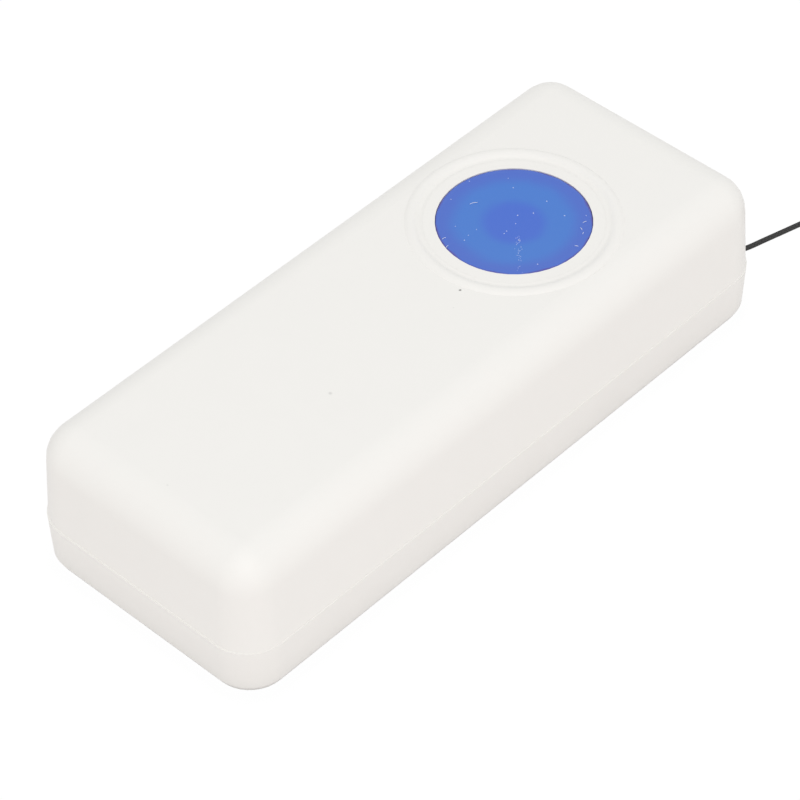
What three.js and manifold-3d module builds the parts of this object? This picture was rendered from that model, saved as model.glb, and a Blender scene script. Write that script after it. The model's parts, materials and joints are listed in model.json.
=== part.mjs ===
// Caregiver pager: a palm-sized white alarm pager with one blue call button on its front, a battery
// bay behind a hinged door in its rear cover and a thin neck cord through its end wall.
// Frame: X across the width, Y along the length with the button and the cord at the +Y end,
// Z up from the rear face that the pager lies on. All sizes are in millimetres.

import * as THREE from "three";
import { mergeVertices } from "three/addons/utils/BufferGeometryUtils.js";
import Module from "manifold-3d";

const wasm = await Module();
wasm.setup();

// Housing
const LENGTH = 100;
const WIDTH = 39.8;
const SEAM_HEIGHT = 8.5;
const WALL = 1.8;
const CORNER_RADIUS = 5.85;
const TOP_FILLET = 5.2;
const REAR_FILLET = 2.4;
const FRONT_DRAFT = 0.6;
const REAR_DRAFT = 0.25;
const SEAM_STEP = 0.12;
const SEAM_GAP = 0.05;
const LIP_HEIGHT = 1.4;
const LIP_THICKNESS = 0.7;
const LIP_CLEARANCE = 0.25;

// Call button and the ring moulded round it
const BUTTON_RADIUS = 10.45;
const BUTTON_TO_END = 29.25;
const BUTTON_CLEARANCE = 0.2;
const BUTTON_RECESS = 0.3;
const BUTTON_FACE = 1.4;
const BUTTON_DISH = 0.35;
const BUTTON_EDGE = 0.25;
const BUTTON_SKIRT = 1.8;
const FLANGE_WIDTH = 1.75;
const FLANGE_THICKNESS = 0.8;
const FLANGE_CLEARANCE = 0.3;
const POST_RADIUS = 1.7;
const POST_LENGTH = 1.3;
const COLLAR_WALL = 1;
const COLLAR_DEPTH = 2.2;
const RING_LAND = 1.45;
const GROOVE_WIDTH = 0.85;
const GROOVE_DEPTH = 0.14;
const RIDGE_WIDTH = 1.65;
const RIDGE_HEIGHT = 0.34;

// Push switch and lamps on the circuit board
const SWITCH_SIDE = 6;
const SWITCH_HEIGHT = 3.5;
const SWITCH_BORE = 2.05;
const SWITCH_BORE_DEPTH = 2;
const PLUNGER_RADIUS = 1.75;
const PLUNGER_PROUD = 0.8;
const PLUNGER_DEPTH = 1.2;
const PRESS_GAP = 0.3;
const LAMP_SIZE = [2.8, 3.5, 1.9];
const LAMP_OFFSET = 6.4;

// Circuit board and what is soldered to it
const BOARD_THICKNESS = 1.2;
const BOARD_SIDE_GAP = 3.5;
const BOARD_END_GAP = 0.5;
const BOARD_CORNER = 1.5;
const BOARD_LIFT = 0.4;
const FIXING_INSET = 3.3;
const SEAT = 0.05;
const RECEIVER_SIZE = [12, 17, 2.4];
const RECEIVER_TO_END = 9.9;
const CHIP_SIZE = [4, 10, 1.5];
const CHIP_LIFT = 0.25;
const CHIP_LEGS = 8;
const CHIP_PITCH = 1.27;
const CHIP_LEG = [1.05, 0.4, 0.9];
const CHIP_TO_RECEIVER = 5.5;
const CRYSTAL_LENGTH = 11;
const CRYSTAL_WIDTH = 4.6;
const CRYSTAL_HEIGHT = 3.3;
const CRYSTAL_TO_CHIP = 3.15;
const BUZZER_RADIUS = 6;
const BUZZER_HEIGHT = 9.5;
const BUZZER_PORT = 1;
const BUZZER_TO_END = 4.35;
const BUZZER_CLEARANCE = 0.2;
const SOUND_HOLE_RADIUS = 0.6;
const SOUND_HOLE_CIRCLE = 2.8;
const SOUND_HOLES = 6;
const CAPACITOR_RADIUS = 3.15;
const CAPACITOR_HEIGHT = 7;
const SIDE_PART_GAP = 1.9;
const ANTENNA_RADIUS = 2.2;
const ANTENNA_WIRE = 0.35;
const ANTENNA_PITCH = 1.7;
const ANTENNA_DROP = 3.3;
const ANTENNA_CLEARANCE = 3;

// Cells, their tray and their contacts
const CELL_DIAMETER = 10.5;
const CELL_LENGTH = 44.5;
const CELL_NUB_RADIUS = 1.9;
const CELL_NUB_LENGTH = 0.9;
const CELL_SPACING = 1;
const CELL_CLEARANCE = 0.35;
const TRAY_WALL = 1.2;
const TRAY_ROOF = 1.1;
const TRAY_TO_SCREWS = 0.7;
const CONTACT_SHEET = 0.4;
const CONTACT_GAP = 0.3;
const CONTACT_WIDTH = 7.6;
const CONTACT_BOTTOM = 4;
const CONTACT_TAB = 2.2;
const SPRING_LENGTH = 3.2;
const SPRING_WIRE = 0.3;
const SPRING_TURNS = 3;
const SPRING_WIDE = 3.3;
const SPRING_NARROW = 1.9;

// Battery door
const DOOR_THICKNESS = 1.5;
const DOOR_CLEARANCE = 0.3;
const DOOR_LEDGE = 0.6;
const DOOR_CORNER = 1.5;
const TAB_WIDTH = 2.7;
const TAB_REACH = 1.8;
const TAB_THICKNESS = 0.8;
const TAB_ROOT = 0.6;
const TAB_SWING = 1.6;
const LATCH_WIDTH = 7;
const LATCH_HEIGHT = 1.6;
const LATCH_THICKNESS = 0.8;
const LATCH_BEAK = 0.15;
const NAIL_NOTCH_RADIUS = 4;
const NAIL_NOTCH_DEPTH = 0.7;

// Screws, their bosses and the stiffening ribs
const SCREW_INSET = [5.5, 6.4];
const BOSS_RADIUS = 2.7;
const SCREW_POST_RADIUS = 3.6;
const SCREW_HEAD_RADIUS = 2.2;
const SCREW_HEAD_HEIGHT = 1.5;
const SCREW_SHANK_RADIUS = 1.1;
const SCREW_LENGTH = 12;
const SCREW_RECESS = 3.2;
const SCREW_CLEARANCE = 0.3;
const BOARD_BOSS_RADIUS = 2.1;
const BOARD_SCREW_HEAD = 1.7;
const BOARD_SCREW_HEAD_HEIGHT = 1.1;
const BOARD_SCREW_RADIUS = 0.8;
const BOARD_SCREW_LENGTH = 4.6;
const PEG_RADIUS = 0.85;
const PEG_PROUD = 0.15;
const THREAD_CLEARANCE = 0.2;
const CROSS_WIDTH = 0.5;
const CROSS_DEPTH = 0.7;
const RIB_THICKNESS = 1;
const RIB_DEPTH = 1.6;
const RIB_PITCH = 14;
const RIBS = 3;

// Neck cord: laid on the surface beyond the end wall, with the rest of its length in a small coil
const CORD_RADIUS = 0.375;
const CORD_EXIT = [9.4, 5];
const CORD_HOLE_RADIUS = 0.8;
const CORD_SIDES = 8;
const CORD_STEPS = 30;
const KNOT_RADIUS = 1.15;
const COIL_CENTRE = [24.9, 76.6];
const COIL_RADIUS = 4.3;
const COIL_WIDTH = 4.8;
const COIL_HEIGHT = 4.4;
const CORD_GAP = 0.3;

// Fineness of the round forms
const CORNER_STEPS = 9;
const FILLET_STEPS = 7;
const INNER_STEPS = 3;
const RING_SIDES = 48;
const ROUND_SIDES = 16;
const WIRE_SIDES = 5;
const WIRE_STEPS = 8;
const MERGE = 0.3;
const THROUGH = 1;

// Levels of the stack, from the rear face up to the front face
const cellRadius = CELL_DIAMETER / 2;
const cellZ = DOOR_THICKNESS + CELL_CLEARANCE + cellRadius;
const cradleRadius = cellRadius + CELL_CLEARANCE;
const trayTop = cellZ + cradleRadius + TRAY_ROOF;
const boardBottom = trayTop + BOARD_LIFT;
const boardTop = boardBottom + BOARD_THICKNESS;
const plungerTop = boardTop + SEAT + SWITCH_HEIGHT + PLUNGER_PROUD;
const buttonUnder = plungerTop + PRESS_GAP + POST_LENGTH;
const buttonTop = buttonUnder + BUTTON_FACE;
const frontTop = buttonTop + BUTTON_RECESS;
const innerTop = frontTop - WALL;
const flangeTop = innerTop - FLANGE_CLEARANCE;
const flangeBottom = flangeTop - FLANGE_THICKNESS;
const postTip = plungerTop + PRESS_GAP;

// Places in plan
const innerHalfWidth = WIDTH / 2 - WALL;
const buttonY = LENGTH / 2 - BUTTON_TO_END;
const screwX = WIDTH / 2 - SCREW_INSET[0];
const screwY = LENGTH / 2 - SCREW_INSET[1];
const holeRadius = BUTTON_RADIUS + BUTTON_CLEARANCE;
const landRadius = holeRadius + RING_LAND;
const ridgeRadius = landRadius + GROOVE_WIDTH;
const ringRadius = ridgeRadius + RIDGE_WIDTH;
const flangeRadius = BUTTON_RADIUS + FLANGE_WIDTH;
const collarRadius = flangeRadius + FLANGE_CLEARANCE;
const cellX = (CELL_DIAMETER + CELL_SPACING) / 2;
const bayHalfWidth = cellX + cradleRadius;
const bayLength = CELL_LENGTH + SPRING_LENGTH + 3 * CONTACT_GAP + CONTACT_SHEET;
const bayStart = -screwY + BOSS_RADIUS + TRAY_TO_SCREWS + TRAY_WALL;
const bayEnd = bayStart + bayLength + CONTACT_SHEET + CONTACT_GAP;
const trayEnd = bayEnd + TRAY_WALL;
const opening = {
  halfWidth: bayHalfWidth + DOOR_LEDGE,
  start: bayStart - DOOR_LEDGE,
  end: bayEnd + DOOR_LEDGE,
};
const boardHalfWidth = innerHalfWidth - BOARD_SIDE_GAP;
const boardEnd = screwY - BOSS_RADIUS - BOARD_END_GAP;
const fixingX = boardHalfWidth - FIXING_INSET;
const fixingY = boardEnd - FIXING_INSET;
const buzzerY = boardEnd - BUZZER_TO_END - BUZZER_RADIUS;
const receiverY = -boardEnd + RECEIVER_TO_END + RECEIVER_SIZE[1] / 2;
const chipY = receiverY + (RECEIVER_SIZE[1] + CHIP_SIZE[1]) / 2 + CHIP_TO_RECEIVER;
const crystalX = (CHIP_SIZE[0] + CRYSTAL_WIDTH) / 2 + CHIP_LEG[0] + CRYSTAL_TO_CHIP;
const sidePartX = BUZZER_RADIUS + SIDE_PART_GAP + CAPACITOR_RADIUS;
const antennaRoom = fixingY - BOARD_SCREW_HEAD - trayEnd - 2 * ANTENNA_CLEARANCE;
const antennaY = trayEnd + ANTENNA_CLEARANCE + antennaRoom / 2;
const tabX = bayHalfWidth - DOOR_CLEARANCE - TAB_WIDTH / 2;
const sheetTop = cellZ + Math.sqrt((cradleRadius - CONTACT_GAP) ** 2 - CONTACT_WIDTH ** 2 / 4);

// Solids from three.js geometry, for cutting and joining
function solid(geometry) {
  const bare = geometry.clone();
  bare.deleteAttribute("normal");
  bare.deleteAttribute("uv");
  const merged = mergeVertices(bare, 1e-4);
  const corners = [];
  for (let i = 0; i < merged.index.count; i += 3) {
    const [a, b, c] = merged.index.array.slice(i, i + 3);
    if (a !== b && b !== c && c !== a) {
      corners.push(a, b, c);
    }
  }
  return new wasm.Manifold(new wasm.Mesh({
    numProp: 3,
    vertProperties: Float32Array.from(merged.attributes.position.array),
    triVerts: Uint32Array.from(corners),
  }));
}

function surface(body) {
  const mesh = body.getMesh();
  const geometry = new THREE.BufferGeometry();
  geometry.setAttribute("position", new THREE.BufferAttribute(mesh.vertProperties, 3));
  geometry.setIndex(new THREE.BufferAttribute(mesh.triVerts, 1));
  geometry.computeVertexNormals();
  return geometry;
}

function joined(first, ...others) {
  return others.reduce((whole, piece) => whole.add(piece), first);
}

function cut(first, ...tools) {
  return tools.reduce((whole, tool) => whole.subtract(tool), first);
}

// A block between two corners
function block(low, high) {
  const size = high.map((value, axis) => value - low[axis]);
  const middle = high.map((value, axis) => (value + low[axis]) / 2);
  return solid(new THREE.BoxGeometry(...size).translate(...middle));
}

// A solid of revolution about the Z axis: its profile runs outwards along the bottom and up
function revolved(profile, sides = ROUND_SIDES) {
  const points = profile.map(([radius, height]) => new THREE.Vector2(radius, height));
  return solid(new THREE.LatheGeometry(points, sides).rotateX(Math.PI / 2));
}

function rod(x, y, radius, bottom, top, sides = ROUND_SIDES) {
  return revolved([[0, bottom], [radius, bottom], [radius, top], [0, top]], sides).translate([x, y, 0]);
}

function pipe(x, y, inner, outer, bottom, top, sides = ROUND_SIDES) {
  return cut(rod(x, y, outer, bottom, top, sides), rod(x, y, inner, bottom - THROUGH, top + THROUGH, sides));
}

// Points of a round arc in a profile
function arc(centreR, centreZ, radius, from, to, steps) {
  return new THREE.EllipseCurve(centreR, centreZ, radius, radius, from, to, to < from)
    .getPoints(steps)
    .map((point) => [point.x, point.y]);
}

// A plate with rounded corners, flat between two heights
function plate(halfWidth, start, end, radius, bottom, top) {
  const shape = new THREE.Shape();
  shape.absarc(halfWidth - radius, start + radius, radius, -Math.PI / 2, 0);
  shape.absarc(halfWidth - radius, end - radius, radius, 0, Math.PI / 2);
  shape.absarc(-halfWidth + radius, end - radius, radius, Math.PI / 2, Math.PI);
  shape.absarc(-halfWidth + radius, start + radius, radius, Math.PI, 1.5 * Math.PI);
  const options = { depth: top - bottom, bevelEnabled: false, curveSegments: INNER_STEPS };
  return solid(new THREE.ExtrudeGeometry(shape, options).translate(0, 0, bottom));
}

// Round wire along a path, closed at both ends
function wire(points, radius, steps, sides = WIRE_SIDES) {
  const section = new THREE.Shape();
  section.absarc(0, 0, radius, 0, 2 * Math.PI);
  const corners = section.getSpacedPoints(sides).slice(0, sides);
  const path = new THREE.CatmullRomCurve3(points, false, "centripetal");
  return solid(new THREE.ExtrudeGeometry(new THREE.Shape(corners), { steps, extrudePath: path }));
}

// The housing is lofted through rounded rectangles that are drawn in from the seam's outline
function outline({ inset, z }, steps) {
  const radius = Math.max(CORNER_RADIUS - inset, MERGE);
  const x = WIDTH / 2 - inset - radius;
  const y = LENGTH / 2 - inset - radius;
  const quarter = Math.PI / 2;
  return [[x, y], [-x, y], [-x, -y], [x, -y]].flatMap(([centreX, centreY], corner) =>
    new THREE.EllipseCurve(centreX, centreY, radius, radius, corner * quarter, (corner + 1) * quarter)
      .getPoints(steps)
      .map((point) => [point.x, point.y, z]));
}

function loft(levels, steps = CORNER_STEPS) {
  const rings = levels.map((level) => outline(level, steps));
  const count = rings[0].length;
  const positions = rings.flat();
  const bottomCentre = positions.push([0, 0, levels[0].z]) - 1;
  const topCentre = positions.push([0, 0, levels.at(-1).z]) - 1;
  const lastRing = (rings.length - 1) * count;
  const faces = [];
  for (let j = 0; j < count; j++) {
    const next = (j + 1) % count;
    for (let base = 0; base < lastRing; base += count) {
      faces.push(base + j, base + next, base + count + next);
      faces.push(base + j, base + count + next, base + count + j);
    }
    faces.push(bottomCentre, next, j);
    faces.push(topCentre, lastRing + j, lastRing + next);
  }
  const geometry = new THREE.BufferGeometry();
  geometry.setAttribute("position", new THREE.Float32BufferAttribute(positions.flat(), 3));
  geometry.setIndex(faces);
  return solid(geometry);
}

function quarterSteps(count) {
  return Array.from({ length: count + 1 }, (_, i) => (i / count) * (Math.PI / 2));
}

// Front cover form, or its cavity when a wall is given: drafted sides under one large top fillet
function frontForm(wall, bottom, filletSteps, cornerSteps) {
  const shoulder = frontTop - TOP_FILLET;
  const fillet = TOP_FILLET - wall;
  const levels = quarterSteps(filletSteps).map((angle) => ({
    z: shoulder + fillet * Math.sin(angle),
    inset: wall + SEAM_STEP + FRONT_DRAFT + fillet * (1 - Math.cos(angle)),
  }));
  return loft([{ z: bottom, inset: wall + SEAM_STEP }, ...levels], cornerSteps);
}

// Rear cover form, or its cavity: drafted sides over a smaller fillet
function rearForm(wall, top, filletSteps, cornerSteps) {
  const fillet = Math.max(REAR_FILLET - wall, MERGE);
  const levels = quarterSteps(filletSteps).map((angle) => ({
    z: wall + fillet * (1 - Math.cos(angle)),
    inset: wall + REAR_DRAFT + fillet * (1 - Math.sin(angle)),
  }));
  return loft([...levels, { z: top, inset: wall }], cornerSteps);
}

function atScrews(make) {
  return [[1, 1], [-1, 1], [-1, -1], [1, -1]].map(([sideX, sideY]) => make(sideX * screwX, sideY * screwY));
}

function bothSides(make) {
  return [-1, 1].map(make);
}

// Front cover: shell, ring round the button, guide collar, bosses, board pegs and ribs
function frontCover() {
  const seam = SEAM_HEIGHT;
  const shell = cut(
    frontForm(0, seam, FILLET_STEPS, CORNER_STEPS),
    frontForm(WALL, seam - THROUGH, INNER_STEPS, INNER_STEPS),
    loft([
      { z: seam - THROUGH, inset: WALL - LIP_THICKNESS - LIP_CLEARANCE },
      { z: seam + LIP_HEIGHT + LIP_CLEARANCE, inset: WALL - LIP_THICKNESS - LIP_CLEARANCE },
    ], INNER_STEPS),
  );
  const housingBosses = atScrews((x, y) => rod(x, y, BOSS_RADIUS, seam, innerTop + MERGE));
  const pilots = atScrews((x, y) =>
    rod(x, y, SCREW_SHANK_RADIUS + THREAD_CLEARANCE, seam - THROUGH, screwTip() + THREAD_CLEARANCE));
  const boardBosses = bothSides((side) =>
    rod(side * fixingX, fixingY, BOARD_BOSS_RADIUS, boardTop + SEAT, innerTop + MERGE));
  const boardPilots = bothSides((side) =>
    rod(side * fixingX, fixingY, BOARD_SCREW_RADIUS + THREAD_CLEARANCE, boardTop - THROUGH,
      boardScrewTip() + THREAD_CLEARANCE));
  const pegs = bothSides((side) => joined(
    rod(side * fixingX, -fixingY, BOARD_BOSS_RADIUS, boardTop + SEAT, innerTop + MERGE),
    rod(side * fixingX, -fixingY, PEG_RADIUS, boardBottom - PEG_PROUD, boardTop + MERGE),
  ));
  const collar = pipe(0, buttonY, collarRadius, collarRadius + COLLAR_WALL,
    innerTop - COLLAR_DEPTH, innerTop + MERGE, RING_SIDES);
  const whole = joined(shell, ...housingBosses, ...boardBosses, ...pegs, ...frontRibs(), collar, ridge());
  return cut(whole, ...pilots, ...boardPilots, groove(),
    rod(0, buttonY, holeRadius, flangeTop, frontTop + THROUGH, RING_SIDES));
}

function frontRibs() {
  return Array.from({ length: RIBS }, (_, i) => {
    const y = receiverY + (i - 1) * RIB_PITCH;
    return block(
      [-innerHalfWidth + TOP_FILLET / 2, y - RIB_THICKNESS / 2, innerTop - RIB_DEPTH],
      [innerHalfWidth - TOP_FILLET / 2, y + RIB_THICKNESS / 2, innerTop + MERGE],
    );
  });
}

// The rounded ridge outside the groove: an arc of this width and height, standing on the front
function ridge() {
  const middle = ridgeRadius + RIDGE_WIDTH / 2;
  const radius = (RIDGE_WIDTH ** 2 / 4 + RIDGE_HEIGHT ** 2) / (2 * RIDGE_HEIGHT);
  const half = Math.asin(RIDGE_WIDTH / 2 / radius);
  const centre = frontTop + RIDGE_HEIGHT - radius;
  const crest = arc(middle, centre, radius, Math.PI / 2 - half, Math.PI / 2 + half, 6);
  const profile = [[ridgeRadius, frontTop - MERGE], [ringRadius, frontTop - MERGE], ...crest];
  return revolved([...profile, profile[0]], RING_SIDES).translate([0, buttonY, 0]);
}

// The shallow groove between the flat land and the ridge
function groove() {
  const middle = landRadius + GROOVE_WIDTH / 2;
  const radius = (GROOVE_WIDTH ** 2 / 4 + GROOVE_DEPTH ** 2) / (2 * GROOVE_DEPTH);
  const half = Math.asin(GROOVE_WIDTH / 2 / radius);
  const centre = frontTop - GROOVE_DEPTH + radius;
  const floor = arc(middle, centre, radius, 1.5 * Math.PI - half, 1.5 * Math.PI + half, 4);
  const top = frontTop + GROOVE_DEPTH;
  const profile = [...floor, [landRadius + GROOVE_WIDTH, top], [landRadius, top]];
  return revolved([...profile, profile[0]], RING_SIDES).translate([0, buttonY, 0]);
}

// Rear cover: shell with its lip, battery tray, door opening, screw posts and sounder collar
function rearCover() {
  const rim = SEAM_HEIGHT + LIP_HEIGHT;
  const lipInset = WALL - LIP_THICKNESS;
  const shell = cut(
    joined(
      rearForm(0, SEAM_HEIGHT - SEAM_GAP, FILLET_STEPS / 2, CORNER_STEPS),
      loft([{ z: rim - 2 * LIP_HEIGHT, inset: lipInset }, { z: rim, inset: lipInset }], INNER_STEPS),
    ),
    rearForm(WALL, rim + THROUGH, INNER_STEPS, INNER_STEPS),
  );
  const posts = atScrews((x, y) => rod(x, y, SCREW_POST_RADIUS, WALL - MERGE, SEAM_HEIGHT - SEAM_GAP));
  const guide = BUZZER_RADIUS + BUZZER_CLEARANCE;
  const guideTop = boardBottom - BUZZER_HEIGHT + TRAY_WALL;
  const collar = pipe(0, buzzerY, guide, guide + TRAY_WALL, WALL - MERGE, guideTop);
  const recesses = atScrews((x, y) => joined(
    rod(x, y, SCREW_HEAD_RADIUS + SCREW_CLEARANCE, -THROUGH, SCREW_RECESS),
    rod(x, y, SCREW_SHANK_RADIUS + THREAD_CLEARANCE, -THROUGH, rim + THROUGH),
  ));
  const cordHole = solid(new THREE.CylinderGeometry(CORD_HOLE_RADIUS, CORD_HOLE_RADIUS, 4 * WALL, ROUND_SIDES)
    .translate(CORD_EXIT[0], LENGTH / 2, CORD_EXIT[1]));
  const whole = joined(shell, tray(), ...posts, collar);
  return cut(whole, ...bayCuts(), ...recesses, ...soundHoles(), cordHole);
}

function tray() {
  return block(
    [-bayHalfWidth - TRAY_WALL, bayStart - TRAY_WALL, WALL - MERGE],
    [bayHalfWidth + TRAY_WALL, trayEnd, trayTop],
  );
}

// The bay inside the tray: a cradle round each cell, the door's opening and slots for tabs
function bayCuts() {
  const cradles = bothSides((side) =>
    solid(new THREE.CylinderGeometry(cradleRadius, cradleRadius, bayEnd - bayStart, 2 * ROUND_SIDES)
      .translate(side * cellX, (bayStart + bayEnd) / 2, cellZ)));
  const mouth = block([-bayHalfWidth, bayStart, -THROUGH], [bayHalfWidth, bayEnd, cellZ]);
  const door = plate(opening.halfWidth, opening.start, opening.end, DOOR_CORNER, -THROUGH, WALL);
  const tabSlots = bothSides((side) => block(
    [side * tabX - TAB_WIDTH / 2 - DOOR_CLEARANCE, bayEnd - MERGE, WALL],
    [side * tabX + TAB_WIDTH / 2 + DOOR_CLEARANCE, trayEnd + THROUGH, WALL + TAB_THICKNESS + TAB_SWING],
  ));
  const slotHalf = CONTACT_TAB / 2 + CONTACT_GAP;
  const slotEnd = bayStart + CONTACT_SHEET + 2 * CONTACT_GAP;
  const contactSlots = bothSides((side) => block(
    [side * cellX - slotHalf, bayStart, cellZ],
    [side * cellX + slotHalf, slotEnd, trayTop + THROUGH],
  ));
  const bridgeReach = cellX + CONTACT_WIDTH / 2;
  const bridgeSlot = block(
    [-bridgeReach, bayEnd - CONTACT_SHEET - 2 * CONTACT_GAP, CONTACT_BOTTOM],
    [bridgeReach, bayEnd, sheetTop + CONTACT_GAP],
  );
  return [...cradles, mouth, door, ...tabSlots, ...contactSlots, bridgeSlot];
}

function soundHoles() {
  const spots = [[0, 0]];
  for (let i = 0; i < SOUND_HOLES; i++) {
    const angle = (i / SOUND_HOLES) * 2 * Math.PI;
    spots.push([SOUND_HOLE_CIRCLE * Math.cos(angle), SOUND_HOLE_CIRCLE * Math.sin(angle)]);
  }
  return spots.map(([x, y]) => rod(x, buzzerY + y, SOUND_HOLE_RADIUS, -THROUGH, WALL + THROUGH, 12));
}

// Battery door: a flush plate with two hinge tabs, a sprung latch tongue and a nail notch
function batteryDoor() {
  const end = opening.end - DOOR_CLEARANCE;
  const start = opening.start + DOOR_CLEARANCE;
  const tabBottom = WALL + DOOR_CLEARANCE;
  const tabs = bothSides((side) => {
    const left = side * tabX - TAB_WIDTH / 2;
    const right = side * tabX + TAB_WIDTH / 2;
    return joined(
      block([left, end - TAB_ROOT, DOOR_THICKNESS - MERGE], [right, end, tabBottom + TAB_THICKNESS]),
      block([left, end - TAB_ROOT, tabBottom], [right, end + TAB_REACH, tabBottom + TAB_THICKNESS]),
    );
  });
  const latchFace = bayStart + DOOR_CLEARANCE;
  const latchTop = DOOR_THICKNESS + LATCH_HEIGHT;
  const latch = joined(
    block([-LATCH_WIDTH / 2, latchFace, DOOR_THICKNESS - MERGE],
      [LATCH_WIDTH / 2, latchFace + LATCH_THICKNESS, latchTop]),
    block([-LATCH_WIDTH / 2, latchFace - LATCH_BEAK, latchTop - 2 * LATCH_THICKNESS],
      [LATCH_WIDTH / 2, latchFace + LATCH_THICKNESS, latchTop - LATCH_THICKNESS]),
  );
  const notch = revolved([
    [0, -THROUGH], [NAIL_NOTCH_RADIUS, -THROUGH], [NAIL_NOTCH_RADIUS, NAIL_NOTCH_DEPTH / 2],
    [NAIL_NOTCH_RADIUS / 2, NAIL_NOTCH_DEPTH], [0, NAIL_NOTCH_DEPTH],
  ]).translate([0, start, 0]);
  const flat = plate(opening.halfWidth - DOOR_CLEARANCE, start, end,
    DOOR_CORNER - DOOR_CLEARANCE, 0, DOOR_THICKNESS);
  return cut(joined(flat, ...tabs, latch), notch);
}

// Call button: one translucent moulding, a dished face over a hollow skirt, flange and press post
function callButton() {
  const dishRadius = (BUTTON_RADIUS ** 2 + BUTTON_DISH ** 2) / (2 * BUTTON_DISH);
  const rim = BUTTON_RADIUS - BUTTON_EDGE;
  const rimAngle = Math.asin(rim / dishRadius);
  const dishCentre = buttonTop - BUTTON_DISH + dishRadius;
  const dish = arc(0, dishCentre, dishRadius, 1.5 * Math.PI + rimAngle, 1.5 * Math.PI, 4);
  const edge = arc(rim, buttonTop - BUTTON_EDGE, BUTTON_EDGE, 0, Math.PI / 2, 3);
  const hollow = BUTTON_RADIUS - BUTTON_SKIRT;
  return revolved([
    [0, postTip], [POST_RADIUS, postTip], [POST_RADIUS, buttonUnder], [hollow, buttonUnder],
    [hollow, flangeBottom], [flangeRadius, flangeBottom], [flangeRadius, flangeTop],
    [BUTTON_RADIUS, flangeTop], ...edge, ...dish.slice(1, -1), [0, buttonTop - BUTTON_DISH],
  ], RING_SIDES);
}

function switchBody() {
  const half = SWITCH_SIDE / 2;
  return cut(
    block([-half, -half, 0], [half, half, SWITCH_HEIGHT]),
    rod(0, 0, SWITCH_BORE, SWITCH_HEIGHT - SWITCH_BORE_DEPTH, SWITCH_HEIGHT + THROUGH),
  );
}

function switchPlunger() {
  return rod(0, 0, PLUNGER_RADIUS, SWITCH_HEIGHT - PLUNGER_DEPTH, SWITCH_HEIGHT + PLUNGER_PROUD);
}

// Circuit board with its two screw holes, two peg holes and the corners cleared for the bosses
function circuitBoard() {
  const low = boardBottom - THROUGH;
  const high = boardTop + THROUGH;
  const holes = bothSides((side) => joined(
    rod(side * fixingX, fixingY, BOARD_SCREW_RADIUS + THREAD_CLEARANCE, low, high),
    rod(side * fixingX, -fixingY, PEG_RADIUS + THREAD_CLEARANCE, low, high),
  ));
  return cut(plate(boardHalfWidth, -boardEnd, boardEnd, BOARD_CORNER, boardBottom, boardTop), ...holes);
}

function standing([sizeX, sizeY, sizeZ]) {
  return block([-sizeX / 2, -sizeY / 2, 0], [sizeX / 2, sizeY / 2, sizeZ]);
}

function microcontroller() {
  const [sizeX, sizeY, sizeZ] = CHIP_SIZE;
  const body = block([-sizeX / 2, -sizeY / 2, CHIP_LIFT], [sizeX / 2, sizeY / 2, CHIP_LIFT + sizeZ]);
  const [legOut, legWide, legTall] = CHIP_LEG;
  const legs = [];
  for (let i = 0; i < CHIP_LEGS; i++) {
    const start = (i - (CHIP_LEGS - 1) / 2) * CHIP_PITCH - legWide / 2;
    const end = start + legWide;
    legs.push(block([-sizeX / 2 - legOut, start, 0], [-sizeX / 2 + MERGE, end, legTall]));
    legs.push(block([sizeX / 2 - MERGE, start, 0], [sizeX / 2 + legOut, end, legTall]));
  }
  return joined(body, ...legs);
}

function crystal() {
  const half = CRYSTAL_LENGTH / 2;
  const side = CRYSTAL_WIDTH / 2;
  return plate(side, -half, half, side - 0.1, 0, CRYSTAL_HEIGHT);
}

// The sounder hangs under the board with its port towards the holes in the rear cover
function buzzer() {
  return cut(
    rod(0, 0, BUZZER_RADIUS, -BUZZER_HEIGHT, 0, 2 * ROUND_SIDES),
    rod(0, 0, BUZZER_PORT, -BUZZER_HEIGHT - THROUGH, -BUZZER_HEIGHT + BUZZER_PORT),
  );
}

function capacitor() {
  const bottom = -CAPACITOR_HEIGHT;
  const neck = CAPACITOR_RADIUS - MERGE;
  return revolved([
    [0, bottom], [neck, bottom], [CAPACITOR_RADIUS, bottom + MERGE], [CAPACITOR_RADIUS, -3 * MERGE],
    [neck, -2 * MERGE], [CAPACITOR_RADIUS, -MERGE], [neck, 0], [0, 0],
  ]);
}

// A coiled wire antenna between the tray and the board's screw, both ends turned up to the board
function antennaCoil() {
  const points = [];
  const turns = Math.floor(antennaRoom / ANTENNA_PITCH) - 2;
  const steps = turns * WIRE_STEPS;
  const length = turns * ANTENNA_PITCH;
  for (let i = 0; i <= steps; i++) {
    const angle = (i / WIRE_STEPS) * 2 * Math.PI;
    const y = (i / steps - 0.5) * length;
    points.push(new THREE.Vector3(ANTENNA_RADIUS * Math.cos(angle), y, ANTENNA_RADIUS * Math.sin(angle)));
  }
  const pad = ANTENNA_DROP - ANTENNA_WIRE / 2;
  const first = new THREE.Vector3(ANTENNA_RADIUS, -length / 2 - ANTENNA_PITCH, pad);
  const last = new THREE.Vector3(ANTENNA_RADIUS, length / 2 + ANTENNA_PITCH, pad);
  return wire([first, ...points, last], ANTENNA_WIRE, steps + WIRE_STEPS);
}

// One cell standing on its flat end, with its nub up
function cell() {
  const shoulder = CELL_LENGTH - CELL_NUB_LENGTH;
  return revolved([
    [0, 0], [cellRadius - MERGE, 0], [cellRadius, MERGE], [cellRadius, shoulder - MERGE],
    [cellRadius - MERGE, shoulder], [CELL_NUB_RADIUS, shoulder],
    [CELL_NUB_RADIUS, CELL_LENGTH], [0, CELL_LENGTH],
  ], 2 * ROUND_SIDES);
}

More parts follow.
